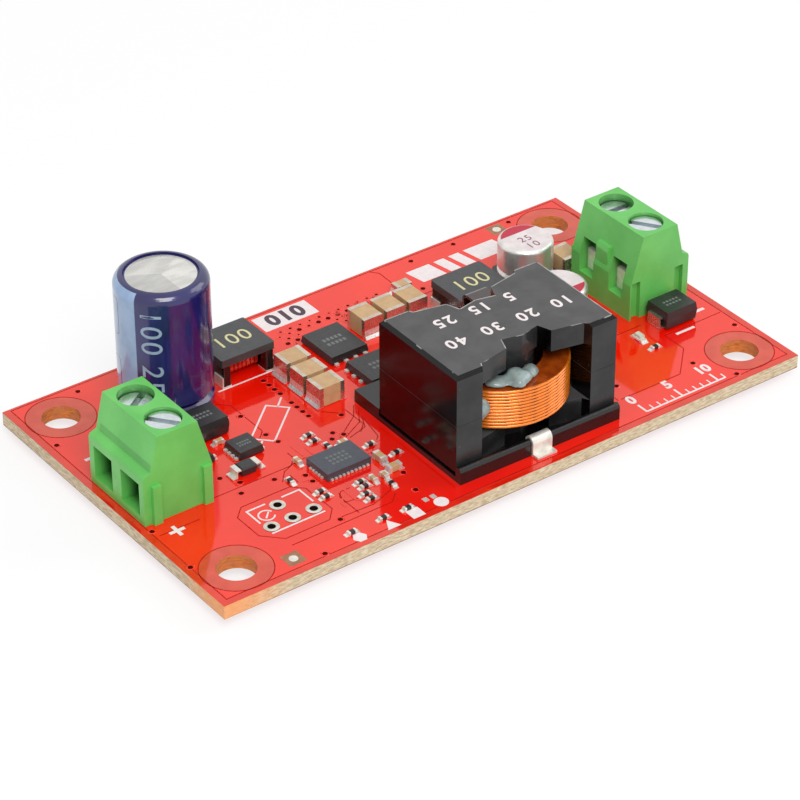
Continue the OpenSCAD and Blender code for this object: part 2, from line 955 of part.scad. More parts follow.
// Bead of glue between the coil and the front left pillar: place, radius, height, foot
bead_place = [-pillar_inner + 0.75, -4.9];
bead_r = 1.15;
bead_h = 3.6;
bead_z = coil_top - 3.9;

module glue_dome(r, h) {
    rotate_extrude()
        polygon(concat(
            [[0, 0]],
            [for (a = [0:15:90]) [r * cos(a), h * sin(a)]]
        ));
}

module glue_bead() {
    rotate_extrude()
        polygon(concat(
            [[0, 0]],
            [for (a = [-60:20:60]) [bead_r * cos(a), bead_h / 2 * (1 + sin(a))]],
            [[0, bead_h]]
        ));
}

module inductor_adhesive() {
    color("lightslategray")
        at_core()
            for (g = glue_domes)
                rotate([0, 0, g[0]])
                    translate([g[1], 0, coil_top])
                        glue_dome(g[2], g[3]);
    color("lightslategray")
        at_core()
            difference() {
                translate([bead_place[0], bead_place[1], bead_z])
                    glue_bead();
                cylinder(h = coil_top + bead_h, d = coil_d, $fn = 96);
                translate([-core_l / 2, -core_w / 2, 0])
                    cube([pillar_w, core_w, coil_top + bead_h]);
            }
}

// ---- Common-mode chokes ----

choke_bar_h = 1.1;
choke_bar_w = 2.6;
choke_bar_z = 0.85;
choke_term_t = 0.15;
choke_term_w = 1.6;

module choke_cores() {
    flange_h = choke_h - choke_plate_t - choke_term_t;
    color([0.15, 0.13, 0.13])
        for (p = choke_places)
            place(p, pad_z) {
                for (s = [-1, 1])
                    translate([s * (choke_l - flange_t) / 2, 0, choke_term_t])
                        linear_extrude(flange_h)
                            rounded_rect(flange_t - 2 * choke_term_t, choke_w, 0.2);
                translate([0, 0, choke_bar_z])
                    soft_bar(choke_l - 2 * flange_t + 1, choke_bar_w, choke_bar_h, 0.2);
            }
}

module choke_plates() {
    color([0.3, 0.3, 0.31])
        for (p = choke_places)
            place(p, pad_z + choke_h - choke_plate_t)
                linear_extrude(choke_plate_t)
                    rounded_rect(choke_l, choke_w, 0.2);
}

module choke_windings() {
    span = choke_l - 2 * flange_t;
    step = span / choke_turns;
    grow = 2 * choke_wire;
    color("firebrick")
        for (p = choke_places)
            place(p, pad_z + choke_bar_z - choke_wire)
                for (i = [0:choke_turns - 1])
                    translate([(i + 0.5) * step - span / 2, 0, 0])
                        difference() {
                            soft_bar(choke_wire, choke_bar_w + grow, choke_bar_h + grow, 0.5);
                            translate([0, 0, choke_wire])
                                soft_bar(choke_wire + 1, choke_bar_w, choke_bar_h, 0.2);
                        }
}

module choke_terminals() {
    foot = flange_t - choke_term_t;
    rise = 1.3;
    color("silver")
        for (p = choke_places, sx = [-1, 1], sy = [-1, 1])
            place(p, pad_z)
                mirror([sx < 0 ? 1 : 0, 0, 0])
                    translate([choke_l / 2, sy * (choke_w - choke_term_w) / 2, 0]) {
                        translate([-foot, -choke_term_w / 2, 0])
                            cube([foot, choke_term_w, choke_term_t]);
                        translate([-choke_term_t, -choke_term_w / 2, 0])
                            cube([choke_term_t, choke_term_w, rise]);
                    }
}

// ---- Chip parts ----

module chip_body(l, w, h, end) {
    soft_bar(l - 2 * end, w - 0.04, h - 0.02, 0.06);
}

module chip_ends(l, w, h, end) {
    for (s = [-1, 1])
        translate([s * (l - end) / 2, 0, 0])
            soft_bar(end, w, h, 0.08);
}

// Places of the large ceramic capacitors
mlcc_places = concat(
    [for (i = [0:mlcc_row_n - 1])
        [mlcc_row_a[0], mlcc_row_a[1] + (i - (mlcc_row_n - 1) / 2) * mlcc_pitch, 0]],
    [for (i = [0:mlcc_row_n - 1])
        [mlcc_row_b[0] + (i - (mlcc_row_n - 1) / 2) * mlcc_pitch, mlcc_row_b[1], 90]],
    [[mlcc_single[0], mlcc_single[1], 90]]
);

module ceramic_capacitor_bodies() {
    color("burlywood") {
        for (p = mlcc_places)
            place(p, pad_z)
                chip_body(mlcc_l, mlcc_w, mlcc_h, mlcc_end);
        place(block_cap, pad_z)
            chip_body(block_cap_size[0], block_cap_size[1], block_cap_size[2], mlcc_end);
    }
}

module ceramic_capacitor_ends() {
    color("silver") {
        for (p = mlcc_places)
            place(p, pad_z)
                chip_ends(mlcc_l, mlcc_w, mlcc_h, mlcc_end);
        place(block_cap, pad_z)
            chip_ends(block_cap_size[0], block_cap_size[1], block_cap_size[2], mlcc_end);
    }
}

module small_capacitor_bodies() {
    color("tan")
        for (p = small_cap_places)
            place(p, pad_z)
                chip_body(chip_part_l, chip_part_w, small_cap_h, chip_end);
    color("tan")
        for (p = mid_cap_places)
            place(p, pad_z)
                chip_body(mid_part_l, mid_part_w, mid_cap_h, mid_part_end);
}

module small_capacitor_ends() {
    color("silver")
        for (p = small_cap_places)
            place(p, pad_z)
                chip_ends(chip_part_l, chip_part_w, small_cap_h, chip_end);
    color("silver")
        for (p = mid_cap_places)
            place(p, pad_z)
                chip_ends(mid_part_l, mid_part_w, mid_cap_h, mid_part_end);
}

module resistor_bodies() {
    color([0.15, 0.15, 0.16])
        for (p = resistor_places)
            place(p, pad_z)
                chip_body(chip_part_l, chip_part_w, resistor_h, chip_end);
}

module resistor_ends() {
    color("silver")
        for (p = resistor_places)
            place(p, pad_z)
                chip_ends(chip_part_l, chip_part_w, resistor_h, chip_end);
}

lamp_base_h = 0.3;

module lamp_body() {
    color("white")
        place(lamp_place, pad_z)
            chip_body(mid_part_l, mid_part_w, lamp_base_h, mid_part_end);
}

module lamp_ends() {
    color("gold")
        place(lamp_place, pad_z)
            chip_ends(mid_part_l, mid_part_w, lamp_base_h, mid_part_end);
}

module lamp_lens() {
    lens_h = 0.4;
    color("white")
        place(lamp_place, pad_z + lamp_base_h)
            soft_bar(mid_part_l - 2 * mid_part_end, mid_part_w - 0.1, lens_h, 0.15);
}

// Pad and fillet at one metal end, for an end as wide as w and as high as h
module end_fillet(w, h, under) {
    translate([0, w / 2, 0])
        rotate([90, 0, 0])
            linear_extrude(w)
                polygon([
                    [-under, 0], [fillet_reach + 0.1, 0], [fillet_reach + 0.1, plating],
                    [0.08, plating + h * fillet_rise * 0.3], [0, plating + h * fillet_rise],
                    [0, plating], [-under, plating]
                ]);
}

module both_fillets(p, l, w, h, under) {
    for (a = [0, 180])
        place(p, top_z)
            rotate([0, 0, a])
                translate([l / 2, 0, 0])
                    end_fillet(w, h, under);
}

module solder_fillets() {
    color("lightgray") {
        for (p = mlcc_places)
            both_fillets(p, mlcc_l, mlcc_w - 0.1, mlcc_h * 0.7, mlcc_end);
        both_fillets(block_cap, block_cap_size[0], block_cap_size[1], block_cap_size[2], mlcc_end);
        for (p = small_cap_places)
            both_fillets(p, chip_part_l, chip_part_w, small_cap_h, chip_end);
        for (p = resistor_places)
            both_fillets(p, chip_part_l, chip_part_w, resistor_h, chip_end);
        for (p = mid_cap_places)
            both_fillets(p, mid_part_l, mid_part_w, mid_cap_h, mid_part_end);
        both_fillets(lamp_place, mid_part_l, mid_part_w, lamp_base_h, mid_part_end);
    }
}

// ---- Moulded packages ----

mould_lift = 0.05;
draft = 0.12;

// Moulded body with sloping sides above and below its parting line
module moulded_body(l, w, h, split) {
    intersection() {
        mould_slopes(l, w, h, split);
        rotate([0, 0, 90])
            mould_slopes(w, l, h, split);
    }
}

module mould_slopes(l, w, h, split) {
    translate([0, w / 2 + 1, 0])
        rotate([90, 0, 0])
            linear_extrude(w + 2)
                polygon([
                    [-l / 2 + draft, 0], [l / 2 - draft, 0], [l / 2, split],
                    [l / 2 - draft, h], [-l / 2 + draft, h], [-l / 2, split]
                ]);
}

// Lead folded out of the body and down to its pad, towards +X
module gull_lead(x, reach, w, t, out_z) {
    translate([x, w / 2, 0])
        rotate([90, 0, 0])
            linear_extrude(w)
                polygon([
                    [0, out_z], [reach * 0.4, out_z], [reach * 0.4, 0], [reach, 0],
                    [reach, t], [reach * 0.4 + t, t], [reach * 0.4 + t, out_z + t], [0, out_z + t]
                ]);
}

fet_pitch = 1.27;
fet_pin_n = 4;
fet_pin_w = 0.45;
fet_pin_t = 0.25;
fet_pin_out = 0.35;

// Flat pins on one side of a body and a wide tab on the other
module flat_leads(l, pitch, n, pin_w, tab_w) {
    for (i = [0:n - 1])
        translate([-l / 2 - fet_pin_out, (i - (n - 1) / 2) * pitch - pin_w / 2, 0])
            cube([fet_pin_out, pin_w, fet_pin_t]);
    translate([l / 2, -tab_w / 2, 0])
        cube([fet_pin_out, tab_w, fet_pin_t]);
}

module power_transistor_bodies() {
    color([0.17, 0.17, 0.18])
        for (p = fet_places)
            place(p, pad_z)
                moulded_body(fet_l, fet_w, fet_h, fet_pin_t);
}

module power_transistor_leads() {
    color("silver")
        for (p = fet_places)
            place(p, pad_z)
                flat_leads(fet_l, fet_pitch, fet_pin_n, fet_pin_w, fet_w - 0.8);
}

module input_transistor_body() {
    color([0.17, 0.17, 0.18])
        place(small_fet_place, pad_z)
            moulded_body(small_fet, small_fet, small_fet_h, fet_pin_t);
}

module input_transistor_leads() {
    color("silver")
        place(small_fet_place, pad_z)
            flat_leads(small_fet, 0.65, fet_pin_n, 0.35, small_fet - 0.8);
}

chip_contact = [0.2, 0.28, 0.22];

module controller_body() {
    color([0.25, 0.26, 0.27])
        place(controller_place, pad_z)
            linear_extrude(chip_h)
                square([chip_l, chip_w], center = true);
}

// Plated contacts on the sides of the controller
module contact_row(n, y) {
    for (i = [0:n - 1])
        translate([(i - (n - 1) / 2) * chip_pitch - chip_contact[1] / 2, y, 0])
            cube([chip_contact[1], chip_contact[0], chip_contact[2]]);
}

module controller_contacts() {
    color("silver")
        place(controller_place, pad_z)
            for (a = [0, 180]) {
                rotate([0, 0, a])
                    contact_row(chip_long_n, chip_w / 2);
                rotate([0, 0, a + 90])
                    contact_row(chip_short_n, chip_l / 2);
            }
}

// ---- Polymer capacitors ----

poly_base_side = poly_d + 0.3;
poly_chamfer = 1.3;
poly_lead_w = 0.9;
poly_lead_t = 0.2;
poly_lead_out = 0.5;

module polymer_cans() {
    r = poly_d / 2;
    neck = 0.25;
    rim = 0.5;
    top = poly_h - poly_base_h;
    color("silver")
        for (p = poly_places)
            place(p, pad_z + poly_base_h)
                rotate_extrude()
                    polygon(concat(
                        [[0, 0], [r - 0.1, 0], [r, 0.2], [r, 0.7], [r - neck, 1], [r, 1.3]],
                        [for (a = [0:15:90]) [r - rim + rim * cos(a), top - rim + rim * sin(a)]],
                        [[0, top]]
                    ));
}

module polymer_bases() {
    s = poly_base_side / 2;
    c = poly_chamfer;
    color([0.12, 0.12, 0.12])
        for (p = poly_places)
            place(p, pad_z)
                difference() {
                    linear_extrude(poly_base_h)
                        polygon([[-s, -s], [s - c, -s], [s, -s + c], [s, s - c], [s - c, s], [-s, s]]);
                    translate([-poly_d, -poly_lead_w / 2, -1])
                        cube([2 * poly_d, poly_lead_w, 1 + poly_lead_t]);
                }
}

module polymer_leads() {
    reach = poly_base_side / 2 + poly_lead_out;
    color("silver")
        for (p = poly_places, s = [-1, 1])
            place(p, pad_z)
                mirror([s < 0 ? 1 : 0, 0, 0])
                    translate([0.6, -poly_lead_w / 2, 0])
                        cube([reach - 0.6, poly_lead_w, poly_lead_t]);
}

// ---- Diodes and the signal transistor ----

lead_t = 0.2;
jlead_out = 0.45;

// Lead that leaves a body's side, runs down and folds under it
module j_lead(l, w, out_z) {
    tuck = 1;
    translate([l / 2, w / 2, 0])
        rotate([90, 0, 0])
            linear_extrude(w)
                polygon([
                    [0, out_z], [0, out_z + lead_t], [jlead_out, out_z + lead_t], [jlead_out, 0],
                    [-tuck, 0], [-tuck, lead_t], [jlead_out - lead_t, lead_t],
                    [jlead_out - lead_t, out_z]
                ]);
}

module large_diode_bodies() {
    color([0.12, 0.12, 0.12])
        for (p = large_diode_places)
            place(p, pad_z + lead_t)
                moulded_body(diode_l, diode_w, diode_h - lead_t, diode_h / 2);
}

module large_diode_leads() {
    color("silver")
        for (p = large_diode_places, a = [0, 180])
            place(p, pad_z)
                rotate([0, 0, a])
                    j_lead(diode_l, diode_lead_w, diode_h / 2 + lead_t / 2);
}

module small_diode_body() {
    color([0.2, 0.2, 0.2])
        place(small_diode_place, pad_z)
            moulded_body(clamp_l, clamp_w, clamp_h, clamp_h * 0.8);
}

module small_diode_leads() {
    color("silver")
        place(small_diode_place, pad_z)
            for (a = [0, 180])
                rotate([0, 0, a])
                    gull_lead(clamp_l / 2, clamp_lead[0], clamp_lead[1], clamp_lead[2], clamp_h * 0.75);
}

sot_l = 2.9;
sot_w = 1.3;
sot_h = 1;
sot_pin = 0.4;

module signal_transistor_body() {
    color([0.2, 0.2, 0.2])
        place(signal_transistor_place, pad_z)
            moulded_body(sot_l, sot_w, sot_h, sot_h / 2);
}

module signal_transistor_leads() {
    color("silver")
        place(signal_transistor_place, pad_z)
            for (q = [[0, 90, 0], [0, -90, 0.95], [0, -90, -0.95]])
                rotate([0, 0, q[1]])
                    translate([0, q[2], 0])
                        gull_lead(sot_w / 2, 0.55, sot_pin, 0.15, sot_h * 0.45);
}

board();
plated_holes();
solder_joints();
solder_fillets();
input_terminal_housing();
input_terminal_contacts();
input_near_screw();
input_far_screw();
input_near_cage();
input_far_cage();
output_terminal_housing();
output_terminal_contacts();
output_near_screw();
output_far_screw();
output_near_cage();
output_far_cage();
electrolytic_can();
electrolytic_sleeve();
electrolytic_bung();
electrolytic_leads();
inductor_base();
inductor_core_lower();
inductor_core_upper();
inductor_winding();
inductor_clip();
inductor_adhesive();
choke_cores();
choke_plates();
choke_windings();
choke_terminals();
ceramic_capacitor_bodies();
ceramic_capacitor_ends();
small_capacitor_bodies();
small_capacitor_ends();
power_transistor_bodies();
power_transistor_leads();
input_transistor_body();
input_transistor_leads();
controller_body();
controller_contacts();
polymer_cans();
polymer_bases();
polymer_leads();
large_diode_bodies();
large_diode_leads();
small_diode_body();
small_diode_leads();
signal_transistor_body();
signal_transistor_leads();
resistor_bodies();
resistor_ends();
lamp_body();
lamp_lens();
lamp_ends();
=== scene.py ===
import collections
import math

import bmesh
import bpy
from mathutils import Matrix, Vector, noise

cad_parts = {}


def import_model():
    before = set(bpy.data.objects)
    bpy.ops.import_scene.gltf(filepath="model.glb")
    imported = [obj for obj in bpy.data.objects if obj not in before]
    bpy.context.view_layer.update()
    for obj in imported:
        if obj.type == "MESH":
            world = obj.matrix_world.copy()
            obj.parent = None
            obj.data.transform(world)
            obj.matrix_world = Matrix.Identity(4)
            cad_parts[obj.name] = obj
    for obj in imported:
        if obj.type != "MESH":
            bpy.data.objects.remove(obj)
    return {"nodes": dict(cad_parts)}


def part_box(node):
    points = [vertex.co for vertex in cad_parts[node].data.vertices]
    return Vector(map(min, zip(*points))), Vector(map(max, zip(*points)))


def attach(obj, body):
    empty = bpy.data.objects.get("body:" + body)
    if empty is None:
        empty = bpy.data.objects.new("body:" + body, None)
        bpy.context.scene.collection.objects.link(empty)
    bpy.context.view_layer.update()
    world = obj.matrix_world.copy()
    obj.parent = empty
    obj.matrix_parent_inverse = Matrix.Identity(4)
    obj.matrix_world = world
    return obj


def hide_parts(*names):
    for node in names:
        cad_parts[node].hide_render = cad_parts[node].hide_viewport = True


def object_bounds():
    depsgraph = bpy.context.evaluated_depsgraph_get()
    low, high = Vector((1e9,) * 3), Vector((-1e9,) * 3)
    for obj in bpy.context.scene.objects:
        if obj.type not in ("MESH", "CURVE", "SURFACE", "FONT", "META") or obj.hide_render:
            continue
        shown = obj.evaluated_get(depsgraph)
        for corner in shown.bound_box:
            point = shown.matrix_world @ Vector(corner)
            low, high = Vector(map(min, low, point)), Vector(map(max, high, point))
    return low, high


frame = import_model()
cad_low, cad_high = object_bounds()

MM = 0.001
NODES = frame["nodes"]


# ---- Places, in millimetres, partly from the frame ----

def span(node):
    """Lowest and highest corner of a CAD node, in millimetres."""
    low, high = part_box(node)
    return low / MM, high / MM


def middle(node):
    """Centre of a CAD node's box."""
    low, high = span(node)
    return (low + high) / 2


def solids(node):
    """Corners of each separate solid of a node, by joining its touching vertices."""
    mesh = bmesh.new()
    mesh.from_mesh(NODES[node].data)
    bmesh.ops.remove_doubles(mesh, verts=mesh.verts, dist=1e-6)
    found, seen = [], set()
    for start in mesh.verts:
        if start in seen:
            continue
        group, queue = [], [start]
        seen.add(start)
        while queue:
            v = queue.pop()
            group.append(v.co / MM)
            for e in v.link_edges:
                other = e.other_vert(v)
                if other not in seen:
                    seen.add(other)
                    queue.append(other)
        found.append(tuple(
            Vector(pick(c[i] for c in group) for i in range(3)) for pick in (min, max)
        ))
    mesh.free()
    return found


board_low, board_high = span("board")
TOP = board_high.z
HALF_L = board_high.x
HALF_W = board_high.y

# mounting holes, one in each corner
HOLE_INSET = 4.5
HOLE_X = HALF_L - HOLE_INSET
HOLE_Y = HALF_W - HOLE_INSET
HOLE_R = 2.1

# the copper stops short of the edges and of the mounting holes
EDGE_GAP = 0.85
FAR_GAP = 0.35
KEEP_OUT_R = 3.8
GROOVE_W = 0.1
GROOVE_T = 0.012

# flat prints are this thick
INK = 0.02

# bare top of the can, inside the sleeve's turned-over rim
VENT_R = 3.75

# both polymer capacitors, the nearer one first
POLYMER_AXES = sorted(((low + high) / 2 for low, high in solids("polymer_cans")), key=lambda a: a.y)
POLYMER_TOP = span("polymer_cans")[1].z

# the coil's flat wire, in millimetres and degrees: full turns, less the stretch that folds
# away behind the core
TURN_PITCH = 0.385
WIRE_T = 0.33
COIL_R = 7.45
COIL_SWEEP = 360 * 12 - 132
COIL_START = 155


# ---- Shader helpers ----

def rgb(r, g, b):
    """Linear colour from display values of 0 to 255."""
    def linear(v):
        v /= 255
        return v / 12.92 if v <= 0.04045 else ((v + 0.055) / 1.055) ** 2.4
    return (linear(r), linear(g), linear(b), 1)


class Graph:
    """Short calls for the nodes of one material."""

    def __init__(self, name):
        self.material = bpy.data.materials.new(name)
        self.material.use_nodes = True
        self.tree = self.material.node_tree
        self.shader = self.tree.nodes["Principled BSDF"]
        self.coords = self.tree.nodes.new("ShaderNodeTexCoord")

    def new(self, kind, **settings):
        node = self.tree.nodes.new(kind)
        for key, value in settings.items():
            setattr(node, key, value)
        return node

    def feed(self, socket, value):
        if isinstance(value, bpy.types.NodeSocket):
            self.tree.links.new(value, socket)
        else:
            socket.default_value = value

    def op(self, operation, *values):
        node = self.new("ShaderNodeMath", operation=operation)
        for socket, value in zip(node.inputs, values):
            self.feed(socket, value)
        return node.outputs[0]

    def mix(self, share, a, b):
        node = self.new("ShaderNodeMix", data_type="RGBA")
        self.feed(node.inputs["Factor"], share)
        self.feed(node.inputs[6], a)
        self.feed(node.inputs[7], b)
        return node.outputs[2]

    def place(self, stretch=(1, 1, 1)):
        """Object position in millimetres."""
        node = self.new("ShaderNodeMapping")
        self.feed(node.inputs["Vector"], self.coords.outputs["Object"])
        node.inputs["Scale"].default_value = [s / MM for s in stretch]
        return node.outputs[0]

    def noise(self, scale, detail=3, stretch=(1, 1, 1)):
        node = self.new("ShaderNodeTexNoise")
        self.feed(node.inputs["Vector"], self.place(stretch))
        node.inputs["Scale"].default_value = scale
        node.inputs["Detail"].default_value = detail
        return node.outputs["Fac"]

    def ramp(self, value, low, high, to_low=0.0, to_high=1.0):
        node = self.new("ShaderNodeMapRange", interpolation_type="SMOOTHSTEP")
        for socket, v in zip(node.inputs, (value, low, high, to_low, to_high)):
            self.feed(socket, v)
        return node.outputs[0]

    def drift(self, a, b, scale, detail, stretch=(1, 1, 1), edge=0.3):
        """Wanders between two numbers or two colours; a smaller edge is a softer change."""
        cloud = self.noise(scale, detail, stretch)
        if isinstance(b, tuple):
            return self.mix(self.ramp(cloud, edge, 1 - edge), a, b)
        return self.ramp(cloud, edge, 1 - edge, a, b)

    def times(self, a, b):
        return self.op("MULTIPLY", a, b)

    def bump(self, *layers):
        """Stacks bumps given as (height socket, millimetres)."""
        normal = None
        for height, size in layers:
            node = self.new("ShaderNodeBump")
            node.inputs["Distance"].default_value = size * MM
            self.feed(node.inputs["Height"], height)
            if normal is not None:
                self.feed(node.inputs["Normal"], normal)
            normal = node.outputs[0]
        self.feed(self.shader.inputs["Normal"], normal)

    def sockets(self, values):
        for name, value in values.items():
            self.shader.inputs[name.replace("_", " ")].default_value = value


def surface(name, colour, rough, metal, mottle, mottle_scale, grain, grain_scale, **sockets):
    """Material whose colour and roughness wander, with a fine bump; scales are per millimetre."""
    g = Graph(name)
    dark = (*(c * (1 - mottle) for c in colour[:3]), 1)
    light = (*(min(1, c * (1 + mottle)) for c in colour[:3]), 1)
    g.feed(g.shader.inputs["Base Color"], g.drift(dark, light, mottle_scale, 4))
    g.feed(g.shader.inputs["Roughness"], g.drift(rough * 0.8, rough * 1.2, mottle_scale * 3, 3, edge=0.25))
    g.shader.inputs["Metallic"].default_value = metal
    g.bump((g.noise(grain_scale, 4), grain))
    g.sockets(sockets)
    return g.material


def separate(g, vector):
    """The x, y and z of a vector."""
    node = g.new("ShaderNodeSeparateXYZ")
    g.feed(node.inputs[0], vector)
    return node.outputs[:]


def inside(g, value, low, high, soft=0.05):
    """One where the value lies between two limits, fading over a short distance."""
    above = g.ramp(value, low - soft, low + soft)
    return g.times(above, g.ramp(value, high - soft, high + soft, 1, 0))


def distance(g, x, y, at):
    """How far a point lies from an upright axis."""
    squares = [g.op("POWER", g.op("SUBTRACT", v, p), 2) for v, p in ((x, at[0]), (y, at[1]))]
    return g.op("SQRT", g.op("ADD", *squares))


def bearing(g, x, y, axis):
    """Angle of a point round an upright axis."""
    return g.op("ARCTAN2", g.op("SUBTRACT", y, axis.y), g.op("SUBTRACT", x, axis.x))


def mask_material():
    """Glossy red solder mask over copper, laminate edges with glass layers, brown hole walls."""
    g = Graph("red_solder_mask")
    x, y, z = separate(g, g.place())
    nz = separate(g, g.coords.outputs["Normal"])[2]
    ax, ay = g.op("ABSOLUTE", x), g.op("ABSOLUTE", y)
    sides = g.op("MINIMUM", g.op("SUBTRACT", HALF_L, ax), g.op("ADD", y, HALF_W))
    from_edge = g.op("MINIMUM", sides, g.op("SUBTRACT", HALF_W + EDGE_GAP - FAR_GAP, y))
    from_hole = distance(g, ax, ay, (HOLE_X, HOLE_Y))
    clear_of_hole = g.ramp(from_hole, KEEP_OUT_R - 0.05, KEEP_OUT_R + 0.05)
    pour = g.times(g.ramp(from_edge, EDGE_GAP - 0.1, EDGE_GAP), clear_of_hole)
    on_copper = g.drift(rgb(226, 14, 2), rgb(234, 24, 5), 0.12, 4, edge=0.35)
    disc = g.drift(rgb(196, 52, 36), rgb(208, 66, 48), 0.5, 2)
    rim = g.drift(rgb(206, 26, 10), rgb(218, 34, 16), 0.5, 2)
    on_laminate = g.mix(clear_of_hole, disc, rim)
    mask = g.mix(pour, on_laminate, on_copper)
    # cut edge: pale resin with streaks of glass, dark at the bottom, red skin at the top,
    # and warmer towards the near left corner
    along = g.noise(1.7, 6, (0.7, 0.7, 3.2))
    laminate = g.mix(g.ramp(along, 0.34, 0.66), rgb(168, 144, 112), rgb(212, 194, 164))
    glass = g.ramp(g.noise(7, 2, (0.6, 0.6, 2)), 0.45, 0.7, 0, 0.3)
    laminate = g.mix(glass, laminate, rgb(228, 216, 192))
    laminate = g.mix(g.ramp(z, 0.04, 0.14, 0.85, 0), laminate, rgb(112, 62, 44))
    laminate = g.mix(g.ramp(z, TOP - 0.1, TOP - 0.03), laminate, rgb(190, 26, 12))
    corner = distance(g, x, y, (-HALF_L, -HALF_W))
    laminate = g.mix(g.ramp(corner, 1, 9, 0.75, 0), laminate, rgb(238, 146, 74))
    ground = g.mix(g.ramp(along, 0.35, 0.65), rgb(176, 82, 18), rgb(226, 132, 46))
    wall = g.drift(ground, rgb(206, 120, 66), 0.9, 3, (1, 1, 2), edge=0.35)
    side = g.mix(g.ramp(from_hole, HOLE_R + 0.4, HOLE_R + 0.5, 1, 0), laminate, wall)
    is_side = g.ramp(g.op("ABSOLUTE", nz), 0.4, 0.6, 1, 0)
    g.feed(g.shader.inputs["Base Color"], g.mix(is_side, mask, side))
    smooth = g.drift(0.055, 0.085, 0.6, 3)
    g.feed(g.shader.inputs["Roughness"], g.op("ADD", smooth, g.times(is_side, 0.55)))
    g.bump(
        (pour, 0.02),
        (g.noise(0.35, 2), 0.008),
        (g.times(g.noise(7, 3, (1, 1, 3)), is_side), 0.05),
    )
    g.sockets({"IOR": 1.72})
    g.shader.inputs["Specular Tint"].default_value = (1, 0.98, 0.78, 1)
    return g.material


def housing_material():
    """Moulded polyamide, painted dark green as painted shade in the wire entries and the screw wells."""
    g = Graph("green_polyamide")
    x, y, z = separate(g, g.place())
    # deep is painted shade: the wire entries and the screw wells are painted dark green
    deep = 0.0
    for end in ("input", "output"):
        low, high = span(f"{end}_terminal_housing")
        depth = g.op("MINIMUM", g.op("SUBTRACT", x, low.x), g.op("SUBTRACT", high.x, x))
        below_lintel = g.ramp(z, TOP + 6.9, TOP + 7.1, 1, 0)
        entry = g.times(inside(g, y, low.y + 0.6, high.y - 0.6), below_lintel)
        deep = g.op("MAXIMUM", deep, g.times(entry, g.ramp(depth, 0.5, 2.2)))
        below_top = g.ramp(z, high.z - 0.02, high.z - 0.01, 1, 0)
        shade = g.ramp(z, high.z - 1.1, high.z - 0.05, 0.85, 0.25)
        for place in ("near", "far"):
            left, right = span(f"{end}_{place}_screw")
            well_r = (right.x - left.x) / 2 + 0.3
            in_well = g.ramp(distance(g, x, y, (left + right) / 2), well_r, well_r + 0.1, 1, 0)
            deep = g.op("MAXIMUM", deep, g.times(g.times(in_well, shade), below_top))
    flow = g.drift(rgb(88, 176, 80), rgb(102, 190, 92), 0.22, 4)
    scuff = g.ramp(g.noise(2.6, 5), 0.66, 0.74)
    light = g.mix(g.times(scuff, 0.25), flow, rgb(140, 206, 128))
    g.feed(g.shader.inputs["Base Color"], g.mix(deep, light, rgb(10, 62, 14)))
    g.feed(g.shader.inputs["Roughness"], g.drift(0.3, 0.44, 1.1, 4))
    g.bump((g.noise(8, 3), 0.004), (g.noise(0.5, 3), 0.02))
    g.sockets({"IOR": 1.53})
    return g.material


def ferrite_material():
    """Dense black ferrite: ground matte on top, glossy on its sides, with painted light and shade on its
    sides and chamfers, and pale along its far rim, partly wear and partly painted highlight.
    """
    g = Graph("black_ferrite")
    z = separate(g, g.place())[2]
    nx, ny, nz = separate(g, g.coords.outputs["Normal"])
    crest_z = span("inductor_core_upper")[1].z
    up = g.ramp(nz, 0.85, 0.97)
    bevel = inside(g, g.op("ABSOLUTE", nz), 0.3, 0.85)
    crest = g.times(g.ramp(z, crest_z - 0.1, crest_z - 0.05), g.op("SUBTRACT", 1, up))
    patch = g.ramp(g.noise(0.35, 4), 0.35, 0.65)
    top = g.mix(patch, rgb(70, 70, 71), rgb(80, 80, 81))
    # painted light and shade: faces that look along y are painted grey, those that look along x near black
    front = g.mix(patch, rgb(34, 34, 35), rgb(44, 44, 45))
    side = g.mix(patch, rgb(3, 1, 1), rgb(10, 7, 7))
    side = g.mix(g.ramp(g.op("ABSOLUTE", ny), 0.8, 0.95), side, front)
    scuff = g.ramp(g.noise(3.2, 5, (1, 1, 0.4)), 0.68, 0.76)
    side = g.mix(g.times(scuff, 0.3), side, rgb(88, 84, 82))
    # painted dark reflection: the chamfers are painted near black
    side = g.mix(bevel, side, rgb(5, 5, 5))
    body = g.mix(up, side, top)
    # painted highlight and wear: far edges are painted pale, near ones stay black with a few pale streaks;
    # both are partly wear and partly painted highlight
    far = g.ramp(g.op("ADD", nx, ny), -0.1, 0.2)
    streaks = g.ramp(g.noise(0.5, 3), 0.58, 0.64, 0, 0.6)
    wear_and_highlight = g.op("MAXIMUM", g.times(far, g.drift(0.45, 0.95, 0.9, 4, edge=0.35)), streaks)
    g.feed(g.shader.inputs["Base Color"], g.mix(g.times(crest, wear_and_highlight), body, rgb(186, 186, 184)))
    g.feed(g.shader.inputs["Roughness"], g.mix(up, g.drift(0.13, 0.2, 1.2, 4), g.drift(0.42, 0.52, 0.8, 4)))
    g.bump((g.noise(6, 4), 0.004), (g.noise(0.6, 2), 0.006))
    g.sockets({"IOR": 1.38})
    return g.material


